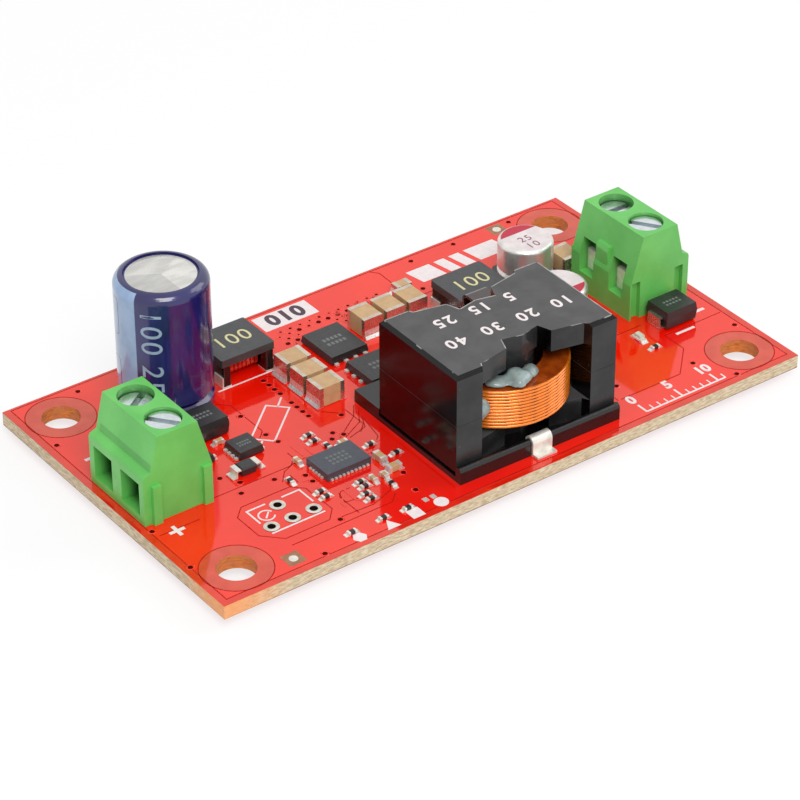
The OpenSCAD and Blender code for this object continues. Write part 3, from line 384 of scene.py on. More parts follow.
def winding_material():
    """Enamelled copper: amber on the flat that looks up, with painted shade of deep brown between the
    turns.
    """
    g = Graph("enamelled_copper")
    y = separate(g, g.place())[1]
    nz = separate(g, g.coords.outputs["Normal"])[2]
    up = g.ramp(nz, 0.8, 0.95)
    # painted shade: the faces between the turns are painted deep brown
    gap_shade = g.drift(rgb(74, 22, 5), rgb(98, 34, 7), 0.3, 3)
    flat = g.drift(rgb(140, 54, 10), rgb(178, 78, 16), 0.7, 3)
    coil = g.mix(up, gap_shade, flat)
    # painted shade: the folded ends behind the core are painted dark
    rear = span("inductor_core_upper")[1].y
    ends = g.ramp(y, rear - 0.4, rear + 0.4)
    g.feed(g.shader.inputs["Base Color"], g.mix(ends, coil, rgb(38, 16, 9)))
    g.feed(g.shader.inputs["Roughness"], g.drift(0.2, 0.3, 0.8, 2))
    shine = g.ramp(up, 0, 1, 0.5, 0.3)
    g.feed(g.shader.inputs["Metallic"], g.times(shine, g.op("SUBTRACT", 1, ends)))
    g.bump((g.noise(1.5, 2), 0.004))
    g.sockets({"Coat_Weight": 0.6, "Coat_Roughness": 0.1, "Coat_IOR": 1.5})
    return g.material


def plating_material():
    """Tinned rings whose bores fall into shade."""
    g = Graph("plated_copper")
    nz = separate(g, g.coords.outputs["Normal"])[2]
    ring = g.drift(rgb(196, 190, 178), rgb(226, 222, 212), 1.6, 4)
    bore = g.ramp(g.op("ABSOLUTE", nz), 0.4, 0.6, 1, 0)
    g.feed(g.shader.inputs["Base Color"], g.mix(bore, ring, rgb(34, 24, 18)))
    g.feed(g.shader.inputs["Roughness"], g.drift(0.28, 0.42, 2.5, 3))
    g.feed(g.shader.inputs["Metallic"], g.ramp(bore, 0, 1, 0.75, 0.2))
    g.bump((g.noise(3, 3), 0.01))
    return g.material


def sleeve_material():
    """Shrunk sleeve: dark violet blue with a pale stripe of minus marks down one side."""
    g = Graph("capacitor_sleeve")
    axis = middle("electrolytic_sleeve")
    x, y, z = separate(g, g.place())
    nz = separate(g, g.coords.outputs["Normal"])[2]
    stripe_at = math.radians(165)
    off = g.op("WRAP", g.op("SUBTRACT", bearing(g, x, y, axis), stripe_at), math.pi, -math.pi)
    stripe = g.ramp(g.op("ABSOLUTE", off), math.radians(38), math.radians(39), 1, 0)
    stripe = g.times(stripe, g.ramp(nz, 0.86, 0.9, 1, 0))
    # each minus mark is the outline of an upright bar with round ends
    sleeve_r, half_w, half_h, half_pitch, mark_z = 5.1, 0.25, 1.7, 3.6, 14
    across = g.op("ABSOLUTE", g.times(off, sleeve_r))
    along = g.op("ABSOLUTE", g.op("WRAP", g.op("SUBTRACT", z, mark_z), half_pitch, -half_pitch))
    wide = g.op("MAXIMUM", g.op("SUBTRACT", across, half_w), 0)
    tall = g.op("MAXIMUM", g.op("SUBTRACT", along, half_h), 0)
    bar = g.op("SQRT", g.op("ADD", g.times(wide, wide), g.times(tall, tall)))
    dash = inside(g, bar, 0.42, 0.58, 0.03)
    deep = g.drift(rgb(24, 22, 78), rgb(34, 32, 98), 0.25, 3)
    pale = g.drift(rgb(122, 148, 184), rgb(142, 166, 198), 0.4, 3)
    ink = g.mix(dash, pale, rgb(44, 52, 108))
    g.feed(g.shader.inputs["Base Color"], g.mix(stripe, deep, ink))
    g.feed(g.shader.inputs["Roughness"], g.drift(0.12, 0.2, 1.2, 3))
    g.bump((g.noise(0.5, 3, (1, 1, 0.3)), 0.03), (g.noise(4, 2), 0.002))
    g.sockets({"IOR": 1.54, "Coat_Weight": 0.4, "Coat_Roughness": 0.06})
    return g.material


def vent_material():
    """Rolled aluminium, each leaf of the can's top painted its own shade as painted light and shade, with
    the sleeve's blue rim.
    """
    g = Graph("can_aluminium")
    x, y = separate(g, g.place())[:2]
    axis = middle("electrolytic_can")
    rolled = g.drift(rgb(206, 205, 200), rgb(230, 229, 224), 0.35, 4, (1, 3, 1))
    # painted light and shade: each leaf is painted its own grey
    from_crease = g.op("ADD", bearing(g, x, y, axis), math.tau + math.radians(90))
    sector = g.op("FLOOR", g.op("DIVIDE", from_crease, math.tau / 3))
    shade = g.times(g.op("MODULO", sector, 3), 0.5)
    tone = g.mix(g.times(shade, 0.4), rolled, rgb(150, 150, 148))
    overlap = g.ramp(distance(g, x, y, axis), VENT_R, VENT_R + 0.06)
    g.feed(g.shader.inputs["Base Color"], g.mix(overlap, tone, rgb(34, 32, 98)))
    g.feed(g.shader.inputs["Roughness"], g.drift(0.26, 0.38, 1.4, 3))
    g.feed(g.shader.inputs["Metallic"], g.ramp(overlap, 0, 1, 0.8, 0))
    g.bump((g.noise(4, 4, (1, 5, 1)), 0.006))
    return g.material


def polymer_top_material():
    """Brushed aluminium can with a lacquered top and a red segment on the minus side."""
    g = Graph("polymer_can")
    x, y = separate(g, g.place())[:2]
    nz = separate(g, g.coords.outputs["Normal"])[2]
    front, back = POLYMER_AXES
    up = g.ramp(nz, 0.9, 0.95)
    on_front = g.ramp(distance(g, x, y, front), 3.4, 3.5, 1, 0)
    front_segment = g.times(g.ramp(y, front.y - 1.4, front.y - 1.3, 1, 0), on_front)
    segment = g.op("MAXIMUM", g.ramp(y, back.y + 1.3, back.y + 1.4), front_segment)
    red = g.times(segment, up)
    metal = g.drift(rgb(206, 206, 202), rgb(232, 232, 228), 0.7, 3, (1, 1, 0.2))
    lacquer = g.drift(rgb(216, 206, 206), rgb(230, 220, 220), 0.9, 3)
    top = g.mix(red, lacquer, rgb(186, 34, 62))
    g.feed(g.shader.inputs["Base Color"], g.mix(up, metal, top))
    g.feed(g.shader.inputs["Metallic"], g.ramp(up, 0, 1, 0.8, 0.25))
    g.feed(g.shader.inputs["Roughness"], g.drift(0.28, 0.38, 1.4, 3))
    g.bump((g.noise(5, 2, (1, 1, 0.15)), 0.002))
    return g.material


# surface takes roughness, metal, mottle and its scale, grain in millimetres and its scale

MASK = mask_material()
PLATING = plating_material()
TIN = surface("tinned_metal", rgb(224, 221, 212), 0.36, 0.5, 0.1, 1.5, 0.01, 4)
TIN_BRIGHT = surface("mirror_tin", rgb(204, 194, 178), 0.26, 0.9, 0.12, 1.2, 0.006, 2)
SOLDER = surface("solder", rgb(226, 225, 220), 0.3, 0.6, 0.1, 1.2, 0.03, 1.6)
GREEN = housing_material()
ZINC = surface("zinc_plated_steel", rgb(214, 221, 224), 0.22, 0.9, 0.06, 1.0, 0.004, 3)
CAGE = surface("cage_steel", rgb(132, 134, 132), 0.36, 1.0, 0.15, 1.2, 0.02, 4)
CONTACT = surface("tinned_brass", rgb(240, 236, 220), 0.34, 0.3, 0.12, 1.0, 0.01, 4)
ALUMINIUM = vent_material()
SLEEVE = sleeve_material()
RUBBER = surface("bung_rubber", rgb(34, 33, 33), 0.7, 0, 0.2, 1.5, 0.03, 5)
BOBBIN = surface("black_base_plastic", rgb(15, 13, 14), 0.2, 0, 0.2, 0.5, 0.012, 3, IOR=1.55)
FERRITE = ferrite_material()
ENAMEL = winding_material()
EDGE_ENAMEL = surface("enamel_on_turn_edges", rgb(238, 128, 26), 0.24, 0.45, 0.08, 0.6, 0.002, 5,
                      Coat_Weight=0.6, Coat_Roughness=0.12, Coat_IOR=1.5)
GLUE = surface("grey_adhesive", rgb(132, 146, 144), 0.14, 0, 0.22, 0.8, 0.01, 3, IOR=1.48,
               Subsurface_Weight=0.35, Subsurface_Scale=0.0005)
CHOKE_FERRITE = surface("choke_ferrite", rgb(20, 15, 15), 0.22, 0, 0.25, 1, 0.02, 4, IOR=1.6)
CHOKE_PLATE = surface("choke_top_plate", rgb(50, 51, 53), 0.42, 0, 0.1, 0.8, 0.008, 9, IOR=1.6)
CHOKE_WIRE = surface("red_enamelled_wire", rgb(214, 44, 16), 0.22, 0.5, 0.2, 1, 0.004, 6,
                     Coat_Weight=0.7, Coat_Roughness=0.1)
CERAMIC = surface("tan_ceramic", rgb(190, 156, 114), 0.46, 0, 0.07, 1.2, 0.008, 8)
MOULD_BLACK = surface("black_moulding", rgb(30, 30, 31), 0.42, 0, 0.14, 1.2, 0.012, 9, IOR=1.6)
MOULD_GREY = surface("grey_moulding", rgb(60, 65, 74), 0.38, 0, 0.1, 1.2, 0.008, 9, IOR=1.55)
FILM = surface("resistor_film", rgb(30, 29, 30), 0.3, 0, 0.2, 2, 0.02, 6)
CERAMIC_WHITE = surface("white_ceramic", rgb(228, 226, 220), 0.5, 0, 0.05, 2, 0.01, 8)
LENS = surface("clear_lens", rgb(236, 240, 226), 0.12, 0, 0.03, 1, 0.01, 3,
               IOR=1.5, Transmission_Weight=0.55)
POLYMER_CAN = polymer_top_material()
WHITE_INK = surface("white_print", rgb(226, 216, 216), 0.4, 0, 0.04, 2, 0.01, 8)
CREAM_INK = surface("cream_print", rgb(206, 198, 150), 0.5, 0, 0.06, 2, 0.01, 8)
PALE_INK = surface("pale_blue_print", rgb(140, 162, 182), 0.4, 0, 0.06, 2, 0.01, 8)
GREY_INK = surface("grey_print", rgb(104, 106, 106), 0.5, 0, 0.06, 2, 0.01, 8)
VIOLET_DARK = surface("marker_ink", rgb(62, 38, 56), 0.4, 0, 0.1, 2, 0.01, 8)
VIOLET_INK = surface("violet_print", rgb(138, 84, 108), 0.5, 0, 0.06, 2, 0.01, 8)
# mask over bare laminate in the pour gaps, its darker red partly painted shade of the groove
SHADED_GROOVE = surface("mask_and_painted_shade_in_pour_gaps", rgb(158, 18, 8), 0.4, 0, 0.15, 0.5, 0.004, 4, IOR=1.15)
# pale far rim of the core, partly wear and partly painted highlight
RIM_WEAR_AND_HIGHLIGHT = surface("ferrite_rim_wear_and_painted_highlight", rgb(150, 150, 147), 0.45, 0, 0.3, 0.9, 0.01, 6)
BARE_LAMINATE = surface("bare_laminate", rgb(150, 104, 74), 0.5, 0, 0.2, 2, 0.01, 5)
# painted shade: a dark disc stands for the shade in each via's hole
HOLE_SHADE = surface("via_hole_painted_shade", rgb(74, 6, 4), 0.5, 0, 0.2, 2, 0.01, 4, IOR=1.1)

FINISH = {
    "board": MASK, "plated_holes": PLATING, "solder_joints": SOLDER, "solder_fillets": SOLDER,
    "input_terminal_housing": GREEN, "output_terminal_housing": GREEN,
    "input_terminal_contacts": CONTACT, "output_terminal_contacts": CONTACT,
    "electrolytic_can": ALUMINIUM, "electrolytic_sleeve": SLEEVE,
    "electrolytic_bung": RUBBER, "electrolytic_leads": TIN,
    "inductor_base": BOBBIN, "inductor_core_lower": FERRITE, "inductor_core_upper": FERRITE,
    "inductor_winding": ENAMEL, "inductor_clip": TIN, "inductor_adhesive": GLUE,
    "choke_cores": CHOKE_FERRITE, "choke_plates": CHOKE_PLATE,
    "choke_windings": CHOKE_WIRE, "choke_terminals": TIN,
    "ceramic_capacitor_bodies": CERAMIC, "ceramic_capacitor_ends": TIN_BRIGHT,
    "small_capacitor_bodies": CERAMIC, "small_capacitor_ends": TIN,
    "power_transistor_bodies": MOULD_BLACK, "power_transistor_leads": TIN,
    "input_transistor_body": MOULD_BLACK, "input_transistor_leads": TIN,
    "controller_body": MOULD_GREY, "controller_contacts": TIN,
    "polymer_cans": POLYMER_CAN, "polymer_bases": MOULD_BLACK, "polymer_leads": TIN,
    "large_diode_bodies": MOULD_BLACK, "large_diode_leads": TIN_BRIGHT,
    "small_diode_body": MOULD_BLACK, "small_diode_leads": TIN,
    "signal_transistor_body": MOULD_BLACK, "signal_transistor_leads": TIN,
    "resistor_bodies": FILM, "resistor_ends": TIN,
    "lamp_body": CERAMIC_WHITE, "lamp_lens": LENS, "lamp_ends": TIN,
}


def finish_cad():
    """Gives every CAD node its finish."""
    for side in ("input", "output"):
        for place in ("near", "far"):
            FINISH[f"{side}_{place}_screw"] = ZINC
            FINISH[f"{side}_{place}_cage"] = CAGE
    for name, obj in NODES.items():
        for slot in obj.material_slots:
            slot.material = FINISH[name]


# ---- Mesh helpers; sizes in millimetres ----

def add(name, data):
    """Makes an object of some data and links it to the scene."""
    obj = bpy.data.objects.new(name, data)
    bpy.context.scene.collection.objects.link(obj)
    return obj


def baked(obj):
    """Mesh of an object with its modifiers applied; the object itself goes."""
    bpy.context.view_layer.update()
    data = bpy.data.meshes.new_from_object(obj.evaluated_get(bpy.context.evaluated_depsgraph_get()))
    bpy.data.objects.remove(obj)
    return data


def piece(name, mesh, *materials):
    """Turns a bmesh in millimetres into an object that rides on the root."""
    bmesh.ops.scale(mesh, vec=(MM, MM, MM), verts=mesh.verts)
    bmesh.ops.recalc_face_normals(mesh, faces=mesh.faces)
    data = bpy.data.meshes.new(name)
    mesh.to_mesh(data)
    mesh.free()
    for m in materials:
        data.materials.append(m)
    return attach(add(name, data), "root")


def plate(mesh, outline, z, t=INK, material=0):
    """Adds a flat prism over an outline."""
    low = [mesh.verts.new((x, y, z)) for x, y in outline]
    high = [mesh.verts.new((x, y, z + t)) for x, y in outline]
    faces = [mesh.faces.new(low[::-1]), mesh.faces.new(high)]
    n = len(outline)
    for i in range(n):
        j = (i + 1) % n
        faces.append(mesh.faces.new((low[i], low[j], high[j], high[i])))
    for f in faces:
        f.material_index = material


def ribbon(mesh, path, width, z, t=INK, closed=False):
    """Adds a flat band of even width along a path."""
    pts = [Vector(p) for p in path]
    n = len(pts)
    left, right = [], []
    for i, p in enumerate(pts):
        steps = []
        if i or closed:
            steps.append((p - pts[i - 1]).normalized())
        if i < n - 1 or closed:
            steps.append((pts[(i + 1) % n] - p).normalized())
        along = sum(steps, Vector((0, 0))).normalized()
        side = Vector((-along.y, along.x))
        reach = width / 2 / max(0.4, side.dot(Vector((-steps[0].y, steps[0].x))))
        left.append(p + side * reach)
        right.append(p - side * reach)
    for i in range(n if closed else n - 1):
        j = (i + 1) % n
        plate(mesh, [right[i], right[j], left[j], left[i]], z, t)


def around(centre, r, angle):
    """Point at a radius from an upright axis, at an angle in radians."""
    return centre[0] + r * math.cos(angle), centre[1] + r * math.sin(angle)


def arc(centre, r, start, end, steps):
    """Points of an arc between two angles in degrees."""
    return [around(centre, r, math.radians(start + (end - start) * i / steps)) for i in range(steps + 1)]


def rectangle(x0, y0, x1, y1):
    """Outline between two opposite corners."""
    return [(x0, y0), (x1, y0), (x1, y1), (x0, y1)]


def skin(mesh, rings, material=0, smooth=False):
    """Joins rings of vertices with faces; a ring of one vertex is a pole."""
    steps = max(len(ring) for ring in rings)
    for a, b in zip(rings, rings[1:]):
        for i in range(steps):
            j = (i + 1) % steps
            corners = [a[i % len(a)], a[j % len(a)], b[j % len(b)], b[i % len(b)]]
            face = mesh.faces.new(list(dict.fromkeys(corners)))
            face.material_index = material
            face.smooth = smooth


def lathe(mesh, profile, centre, steps, material=0):
    """Adds a closed turned shape; profile is radius and height from the axis round to the axis."""
    rings = []
    for r, z in profile:
        count = steps if r else 1
        rings.append([mesh.verts.new((*around(centre, r, math.tau * i / steps), z)) for i in range(count)])
    skin(mesh, rings, material)


def figures(name, text, size, thickness, spread=1.0, bold=0.0, unit=1.0):
    """Mesh of flat figures centred on the origin."""
    curve = bpy.data.curves.new(name, "FONT")
    curve.body = text
    curve.size = size * unit
    curve.space_character = spread
    curve.offset = bold * unit
    curve.align_x = "CENTER"
    curve.align_y = "CENTER"
    curve.extrude = thickness / 2 * unit
    curve.resolution_u = 4
    return baked(add(name, curve))


def number(name, text, size, at, z, material, turn=0, spread=1.0, bold=0.0):
    """Raised figures printed on a level face, centred at a point."""
    data = figures(name, text, size, INK, spread, bold, unit=MM)
    place = Matrix.Translation(Vector((*at, z + INK / 2)) * MM)
    data.transform(place @ Matrix.Rotation(math.radians(turn), 4, "Z"))
    data.materials.clear()
    data.materials.append(material)
    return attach(add(name, data), "root")


# ---- Board details ----

# where the copper is parted, and the thin tracks
POUR_LINES = [
    [(-28.4, -5.3), (-18.6, -5.3), (-17.6, -4.3), (-17.6, -3.2)],
    [(-28.4, -5.3), (-30.2, -5.3)],
    [(-26.9, -8.3), (-28.2, -9.6), (-28.2, -13.4), (-26.3, -15.4), (-20.9, -15.4), (-19.6, -14),
     (-19.6, -12.4)],
    [(-26.9, -8.3), (-20.9, -8.3), (-19.7, -9.5), (-19.7, -12.4)],
    [(-26.4, -16.7), (-14, -16.7), (-12.9, -15.7)],
    [(-17.8, -16.2), (-17.8, -12.8), (-17.2, -12.1), (-16, -12.1)],
    [(-19.7, -8.2), (-19.7, -6.6)],
    [(-23.9, 8.6), (-18.4, 8.6), (-17.4, 7.6), (-17.4, 1.7), (-18.6, 0.5)],
    [(-9.2, -4.6), (-8.1, -3.5), (-8.1, -0.2)],
    [(-11.3, 10.1), (-10.6, 9.4), (-10.6, 1.2), (-9, -0.4)],
    [(-9.2, 10.6), (-5.2, 10.6), (-4.8, 13.6)],
    [(10.9, 12.2), (11.9, 13.2), (19.2, 13.2)],
    [(10.3, 20.6), (11, 19.7), (10.9, 16.8), (10.6, 16.2)],
    [(14.4, -9), (16.2, -10.8), (16.2, -16.2)],
    [(16.6, -16.2), (24.8, -16.2), (28.4, -12.6), (28.4, -9.4), (36.4, -9.4)],
    [(27.6, -6.2), (24.4, -6.2), (23.4, -5.2), (18.2, -5.2)],
    [(24.6, 12.8), (27, 15.2), (27, 17.6)],
    [(-36.2, -7.5), (-31.4, -7.5)],
    [(-11.6, -4.2), (-8.1, -1.8), (-6.9, -0.1)],
    [(-11.1, -4.5), (-8.2, -3), (-7.1, -1.2)],
    [(-10.7, -4.8), (-8.3, -4.1), (-7.4, -2.3)],
    [(-10.7, -8.5), (-8.2, -6.3), (-7.5, -2.7)],
    [(-16.5, -5), (-18.4, -5.2), (-19.8, -5.8), (-21, -7.2)],
    [(-17.5, -12.2), (-17.9, -13.9), (-15.8, -14.2)],
    [(-12.2, -12.6), (-11.6, -13.1), (-12.9, -14.9), (-15.7, -15.9), (-20.1, -15.7)],
]

SIGNAL_TRACES = [
    [(-17.3, -12.8), (-18.3, -13.8), (-18.3, -14.6)],
    [(-13.3, -10.6), (-13.3, -13.6), (-12.6, -14.3)],
    [(-11.2, -9.6), (-10, -10.8)],
    [(-11.4, -8.2), (-9.3, -8.2)],
    [(-17.8, -8.4), (-19.3, -8.4)],
    [(-17.8, -9.3), (-18.9, -10.2)],
    [(-12.6, -4.9), (-11.2, -3.4)],
    [(-15.6, -4.9), (-15.6, -3.6), (-14.9, -2.9)],
    [(-16.6, -4.6), (-16.6, -2.4)],
    [(-9.2, -6.9), (-7.9, -6.9), (-7.3, -6.3)],
    [(-11.7, -7.3), (-10.6, -6.9)],
    [(-14.6, -10.8), (-14.6, -11.2)],
    [(-15.9, -10.8), (-15.9, -11.4), (-16.8, -12.3), (-16.8, -14.2), (-16.3, -14.7)],
]


def pour_gaps():
    """Grooves where the copper stops under the mask, their darker red partly painted shade."""
    mesh = bmesh.new()
    edge_x = HALF_L - EDGE_GAP
    loops = [rectangle(-edge_x, EDGE_GAP - HALF_W, edge_x, HALF_W - FAR_GAP)]
    for x in (-HOLE_X, HOLE_X):
        for y in (-HOLE_Y, HOLE_Y):
            loops.append(arc((x, y), KEEP_OUT_R, 0, 352, 44))
    for path in loops:
        ribbon(mesh, path, GROOVE_W, TOP, GROOVE_T, closed=True)
    for path in POUR_LINES:
        ribbon(mesh, path, GROOVE_W, TOP, GROOVE_T)
    return piece("pour_gaps", mesh, SHADED_GROOVE)


def signal_traces():
    """Thin tracks, a little proud under the mask."""
    width, height = 0.2, 0.03
    mesh = bmesh.new()
    for path in SIGNAL_TRACES:
        ribbon(mesh, path, width, TOP, height)
    return piece("signal_traces", mesh, MASK)


def via_places():
    """Plated through holes under the mask: loose ones, a column, and a field with a few more in it."""
    loose = [
        (-36.4, -6.4), (-25.5, -6.3), (-21.4, -6.3), (-18.4, -7.6), (-18.4, -8.9), (-25.8, -2.8),
        (-24.5, -4.6), (-11.7, -3), (-12.4, -3.9), (-10.9, -3.9), (-17.2, -0.9), (-9, -0.8),
        (-10.8, -16.4), (-10, -13.2), (-20, -16), (-24.6, -19.8), (-17.6, 8.9), (-17.7, 5.3),
        (-17.5, 0.9), (-29, 19.6), (-36.1, 12.3), (15.4, 19.7), (21.5, 19.8), (29.6, 19.9),
        (36, -12.3), (27.3, -15.4), (29.7, -19.8), (17.8, -13.9), (-36.6, -13.7), (13, 14.2),
        (-9.88, 3.5), (-8.91, 3.59),
    ]
    column = [(-11.9, 1.1 + 1.05 * i) for i in range(9) if i != 4]
    field = []
    step = 1.3
    for i in range(11):
        for j in range(4):
            x = -5.6 + step * i
            # the near left part of the field is empty
            if x < -4.2 + 0.9 * j or i > 4 or j > 1:
                field.append((x + step / 2 * (j % 2), 13.9 + 0.8 * j))
    more = [(x, y) for x in (2.4, 4.9, 7.4) for y in (14.9, 15.9)]
    return loose + column + field + more


def is_covered(x, y, covers, margin=0.3):
    """Whether a place on the board lies under one of the parts."""
    return any(
        low.x - margin < x < high.x + margin and low.y - margin < y < high.y + margin
        for low, high in covers
    )


def vias():
    """A ring and a partly filled hole at each via that no part covers, the hole a dark disc of painted
    shade.
    """
    covers = []
    for node in ("ceramic_capacitor_bodies", "power_transistor_bodies", "choke_plates", "inductor_base",
                 "controller_body", "electrolytic_sleeve", "input_terminal_housing",
                 "output_terminal_housing"):
        covers += solids(node)
    hole_r, sides = 0.28, 20
    crown, dip, cap = TOP + 0.03, TOP + 0.01, TOP + 0.013
    ring = [(0, TOP), (0.46, TOP), (0.4, crown), (0.32, crown), (hole_r, dip), (0, dip)]
    mesh = bmesh.new()
    for i, (x, y) in enumerate(via_places()):
        if is_covered(x, y, covers):
            continue
        lathe(mesh, ring, (x, y), sides)
        # most of those in the field are nearly filled
        in_field = 13.8 < y < 17 and -6 < x < 12
        r = 0.12 + 0.03 * (i % 3) if in_field and i % 4 else hole_r
        hole = [(0, dip + 0.001), (r, dip + 0.001), (r - 0.01, cap), (0, cap)]
        lathe(mesh, hole, (x, y), sides, 1)
    return piece("vias", mesh, MASK, HOLE_SHADE)


def bare_pads():
    """Tinned pads with nothing on them, and the two fiducial marks."""
    dot = [(0, TOP), (0.5, TOP), (0.48, TOP + 0.04), (0, TOP + 0.045)]
    mesh = bmesh.new()
    for x, y in ((-27.6, -18.6), (27.5, 19.4)):
        plate(mesh, rectangle(x - 1, y - 1, x + 1, y + 1), TOP, 0.006, 1)
        lathe(mesh, dot, (x, y), 32)
    for x in (-11.08, -10.12):
        plate(mesh, rectangle(x - 0.28, -18.75, x + 0.28, -18.1), TOP, 0.045)
    return piece("bare_pads", mesh, TIN, BARE_LAMINATE)


def board_print():
    """White print: generic shapes, an outline for the trimmer and plain marks."""
    line, fine = 0.2, 0.17
    # where lines cross, the second lies a little higher
    over = INK + 0.002
    mesh = bmesh.new()
    # plain shapes in a row: triangle, square, disc and hexagon
    row, half = -19.65, 0.75
    plate(mesh, [(-17.2, row - half), (-15.6, row - half), (-16.4, row + half)], TOP)
    plate(mesh, rectangle(-14, row - half, -12.5, row + half), TOP)
    plate(mesh, arc((-10, row), 0.8, 0, 348, 29), TOP)
    plate(mesh, arc((-20.2, row), 0.8, 0, 300, 5), TOP)
    # label field, which takes the marker figures
    plate(mesh, rectangle(-6.2, 17.2, 0.9, 20.2), TOP)
    # trimmer outline with its dial
    for x, corner in ((-24.6, -26.9), (-22.6, -20.4)):
        ribbon(mesh, [(x, -9.3), (corner, -9.3), (corner, -11.8)], line, TOP)
    ribbon(mesh, [(-26.9, -13.9), (-20.4, -13.9)], line, TOP)
    ribbon(mesh, arc((-25.6, -11), 0.85, 20, 330, 22), fine, TOP)
    ribbon(mesh, [(-25.9, -11.4), (-25.1, -10.6)], fine, TOP)
    # plain two-lead part symbol in the open field
    ribbon(mesh, [(-19.2, 1.2), (-17.4, -0.6), (-12.6, 3.6), (-14.4, 5.4)], line, TOP, closed=True)
    ribbon(mesh, [(-18.3, 0.3), (-19.6, -0.9)], line, TOP)
    ribbon(mesh, [(-13.5, 4.5), (-12.2, 5.7)], line, TOP)
    # lines beside a choke and a diode
    ribbon(mesh, [(-17, 10.55), (-9.3, 10.55)], line, TOP)
    ribbon(mesh, [(29.6, -9.95), (32.2, -9.95)], 0.35, TOP)
    # plus and minus beside the terminal blocks
    reach, stroke = 0.9, 0.42
    for x, plus, minus in ((-34.3, -7.8, 8.2), (34.6, 7.7, -7.7)):
        for y in (plus, minus):
            ribbon(mesh, [(x - reach, y), (x + reach, y)], stroke, TOP)
        ribbon(mesh, [(x, plus - reach), (x, plus + reach)], stroke, TOP, over)
    # plain scale along the near edge, with a longer and thicker stroke at every fifth
    left, y = 17.3, -19.6
    ribbon(mesh, [(left, y), (left + 11, y)], 0.22, TOP)
    for i in range(12):
        tall, width = (0.8, 0.16) if i % 5 else (1.5, 0.24)
        ribbon(mesh, [(left + i, y), (left + i, y + tall)], width, TOP, over)
    # plain blocks on the far side, each leaning a little
    lean = 0.5
    for x, w in ((13.4, 3.2), (17.3, 1.4), (19.4, 1.4), (21.5, 4.2)):
        plate(mesh, [(x + lean, 15.2), (x + w + lean, 15.2), (x + w, 18), (x, 18)], TOP)
    piece("board_print", mesh, WHITE_INK)
    for i in (0, 5, 10):
        number(f"scale_figure_{i}", str(i), 1.9, (left + i, -17), TOP, WHITE_INK, bold=0.08)
    number("label_figures", "010", 2.9, (-2.6, 18.7), TOP + INK, VIOLET_DARK, spread=1.15, bold=0.13)


# ---- Marks on the parts ----

def package_bars():
    """Faint bars on the moulded packages, five to a row."""
    packages = {"controller_body": 3, "input_transistor_body": 2,
                "power_transistor_bodies": 2, "large_diode_bodies": 2}
    mesh = bmesh.new()
    for node, rows in packages.items():
        for low, high in solids(node):
            at = (low + high) / 2
            wide = min(high.x - low.x, 5) * 0.26
            gap = (high.y - low.y) * 0.16
            tall = gap * 0.28
            for r in range(rows):
                y = at.y + (r - (rows - 1) / 2) * gap
                for k in range(5):
                    x = at.x - wide + 2 * wide * (k + 0.1) / 5
                    plate(mesh, rectangle(x, y - tall, x + wide * 0.26, y + tall), high.z, 0.008)
    piece("package_bars", mesh, GREY_INK)


def part_marks():
    """Plain figures and bars on top of the chokes, the inductor, the packages and the cans."""
    for i, (low, high) in enumerate(sorted(solids("choke_plates"), key=lambda s: s[0].x)):
        at = (low + high) / 2
        number(f"choke_figure_{i}", "100", 2.9, (at.x, at.y), high.z, CREAM_INK, spread=1.1)
    low, high = span("inductor_core_upper")
    centre = (low + high) / 2
    for row, text in enumerate(("10  20  30  40", "5  15  25")):
        at = (centre.x + 0.4 - 1.6 * row, centre.y - 1.3 + 3.9 * row)
        number(f"inductor_figures_{row}", text, 2.2, at, high.z, WHITE_INK, 179, spread=1.25, bold=0.05)
    package_bars()
    size = 1.5
    for i, axis in enumerate(POLYMER_AXES):
        shift = (0.9, -0.9)[i]
        for row, text in enumerate(("10", "25")):
            at = (axis.x - 0.2, axis.y + shift + (row - 0.5) * size)
            number(f"polymer_figure_{i}_{row}", text, size, at, POLYMER_TOP, VIOLET_INK, spread=1.2)


def sleeve_figures():
    """Pale figures that run down the sleeve, bent round it."""
    low, high = span("electrolytic_sleeve")
    axis = (low + high) / 2
    r = (high.x - low.x) / 2
    facing = math.radians(222)
    thickness, proud = 0.02, 0.012
    for name, text, centre_z in (("sleeve_figures_high", "100", 12.0), ("sleeve_figures_low", "25", 6.2)):
        mesh = bmesh.new()
        mesh.from_mesh(figures(name, text, 3.3, thickness, spread=1.15))
        # short edges, so the figures bend smoothly
        long_edges = [e for e in mesh.edges if e.calc_length() > 0.3]
        bmesh.ops.subdivide_edges(mesh, edges=long_edges, cuts=3)
        for v in mesh.verts:
            place = around(axis, r + proud + v.co.z, facing + v.co.y / r)
            v.co = (*place, TOP + centre_z - v.co.x)
        piece(name, mesh, PALE_INK)


# ---- Coil edges, core rim, can top, glue and the terminal block's rib ----

def coil_edges():
    """Rounded outer edges of the flat wire, one long helix of oval section."""
    half_wide, half_tall, sides, degrees_a_step = 0.16, 0.185, 8, 4
    axis = middle("inductor_core_upper")
    end_z = span("inductor_winding")[1].z - WIRE_T / 2
    mesh = bmesh.new()
    rings = []
    count = COIL_SWEEP // degrees_a_step
    for i in range(count + 1):
        sweep = i * COIL_SWEEP / count
        z = end_z - TURN_PITCH * (COIL_SWEEP - sweep) / 360
        ring = []
        for k in range(sides):
            t = math.tau * k / sides
            place = around(axis, COIL_R + half_wide * math.cos(t), math.radians(COIL_START + sweep))
            ring.append(mesh.verts.new((*place, z + half_tall * math.sin(t))))
        rings.append(ring)
    skin(mesh, rings, smooth=True)
    mesh.faces.new(rings[0])
    mesh.faces.new(rings[-1][::-1])
    return piece("coil_edges", mesh, EDGE_ENAMEL)


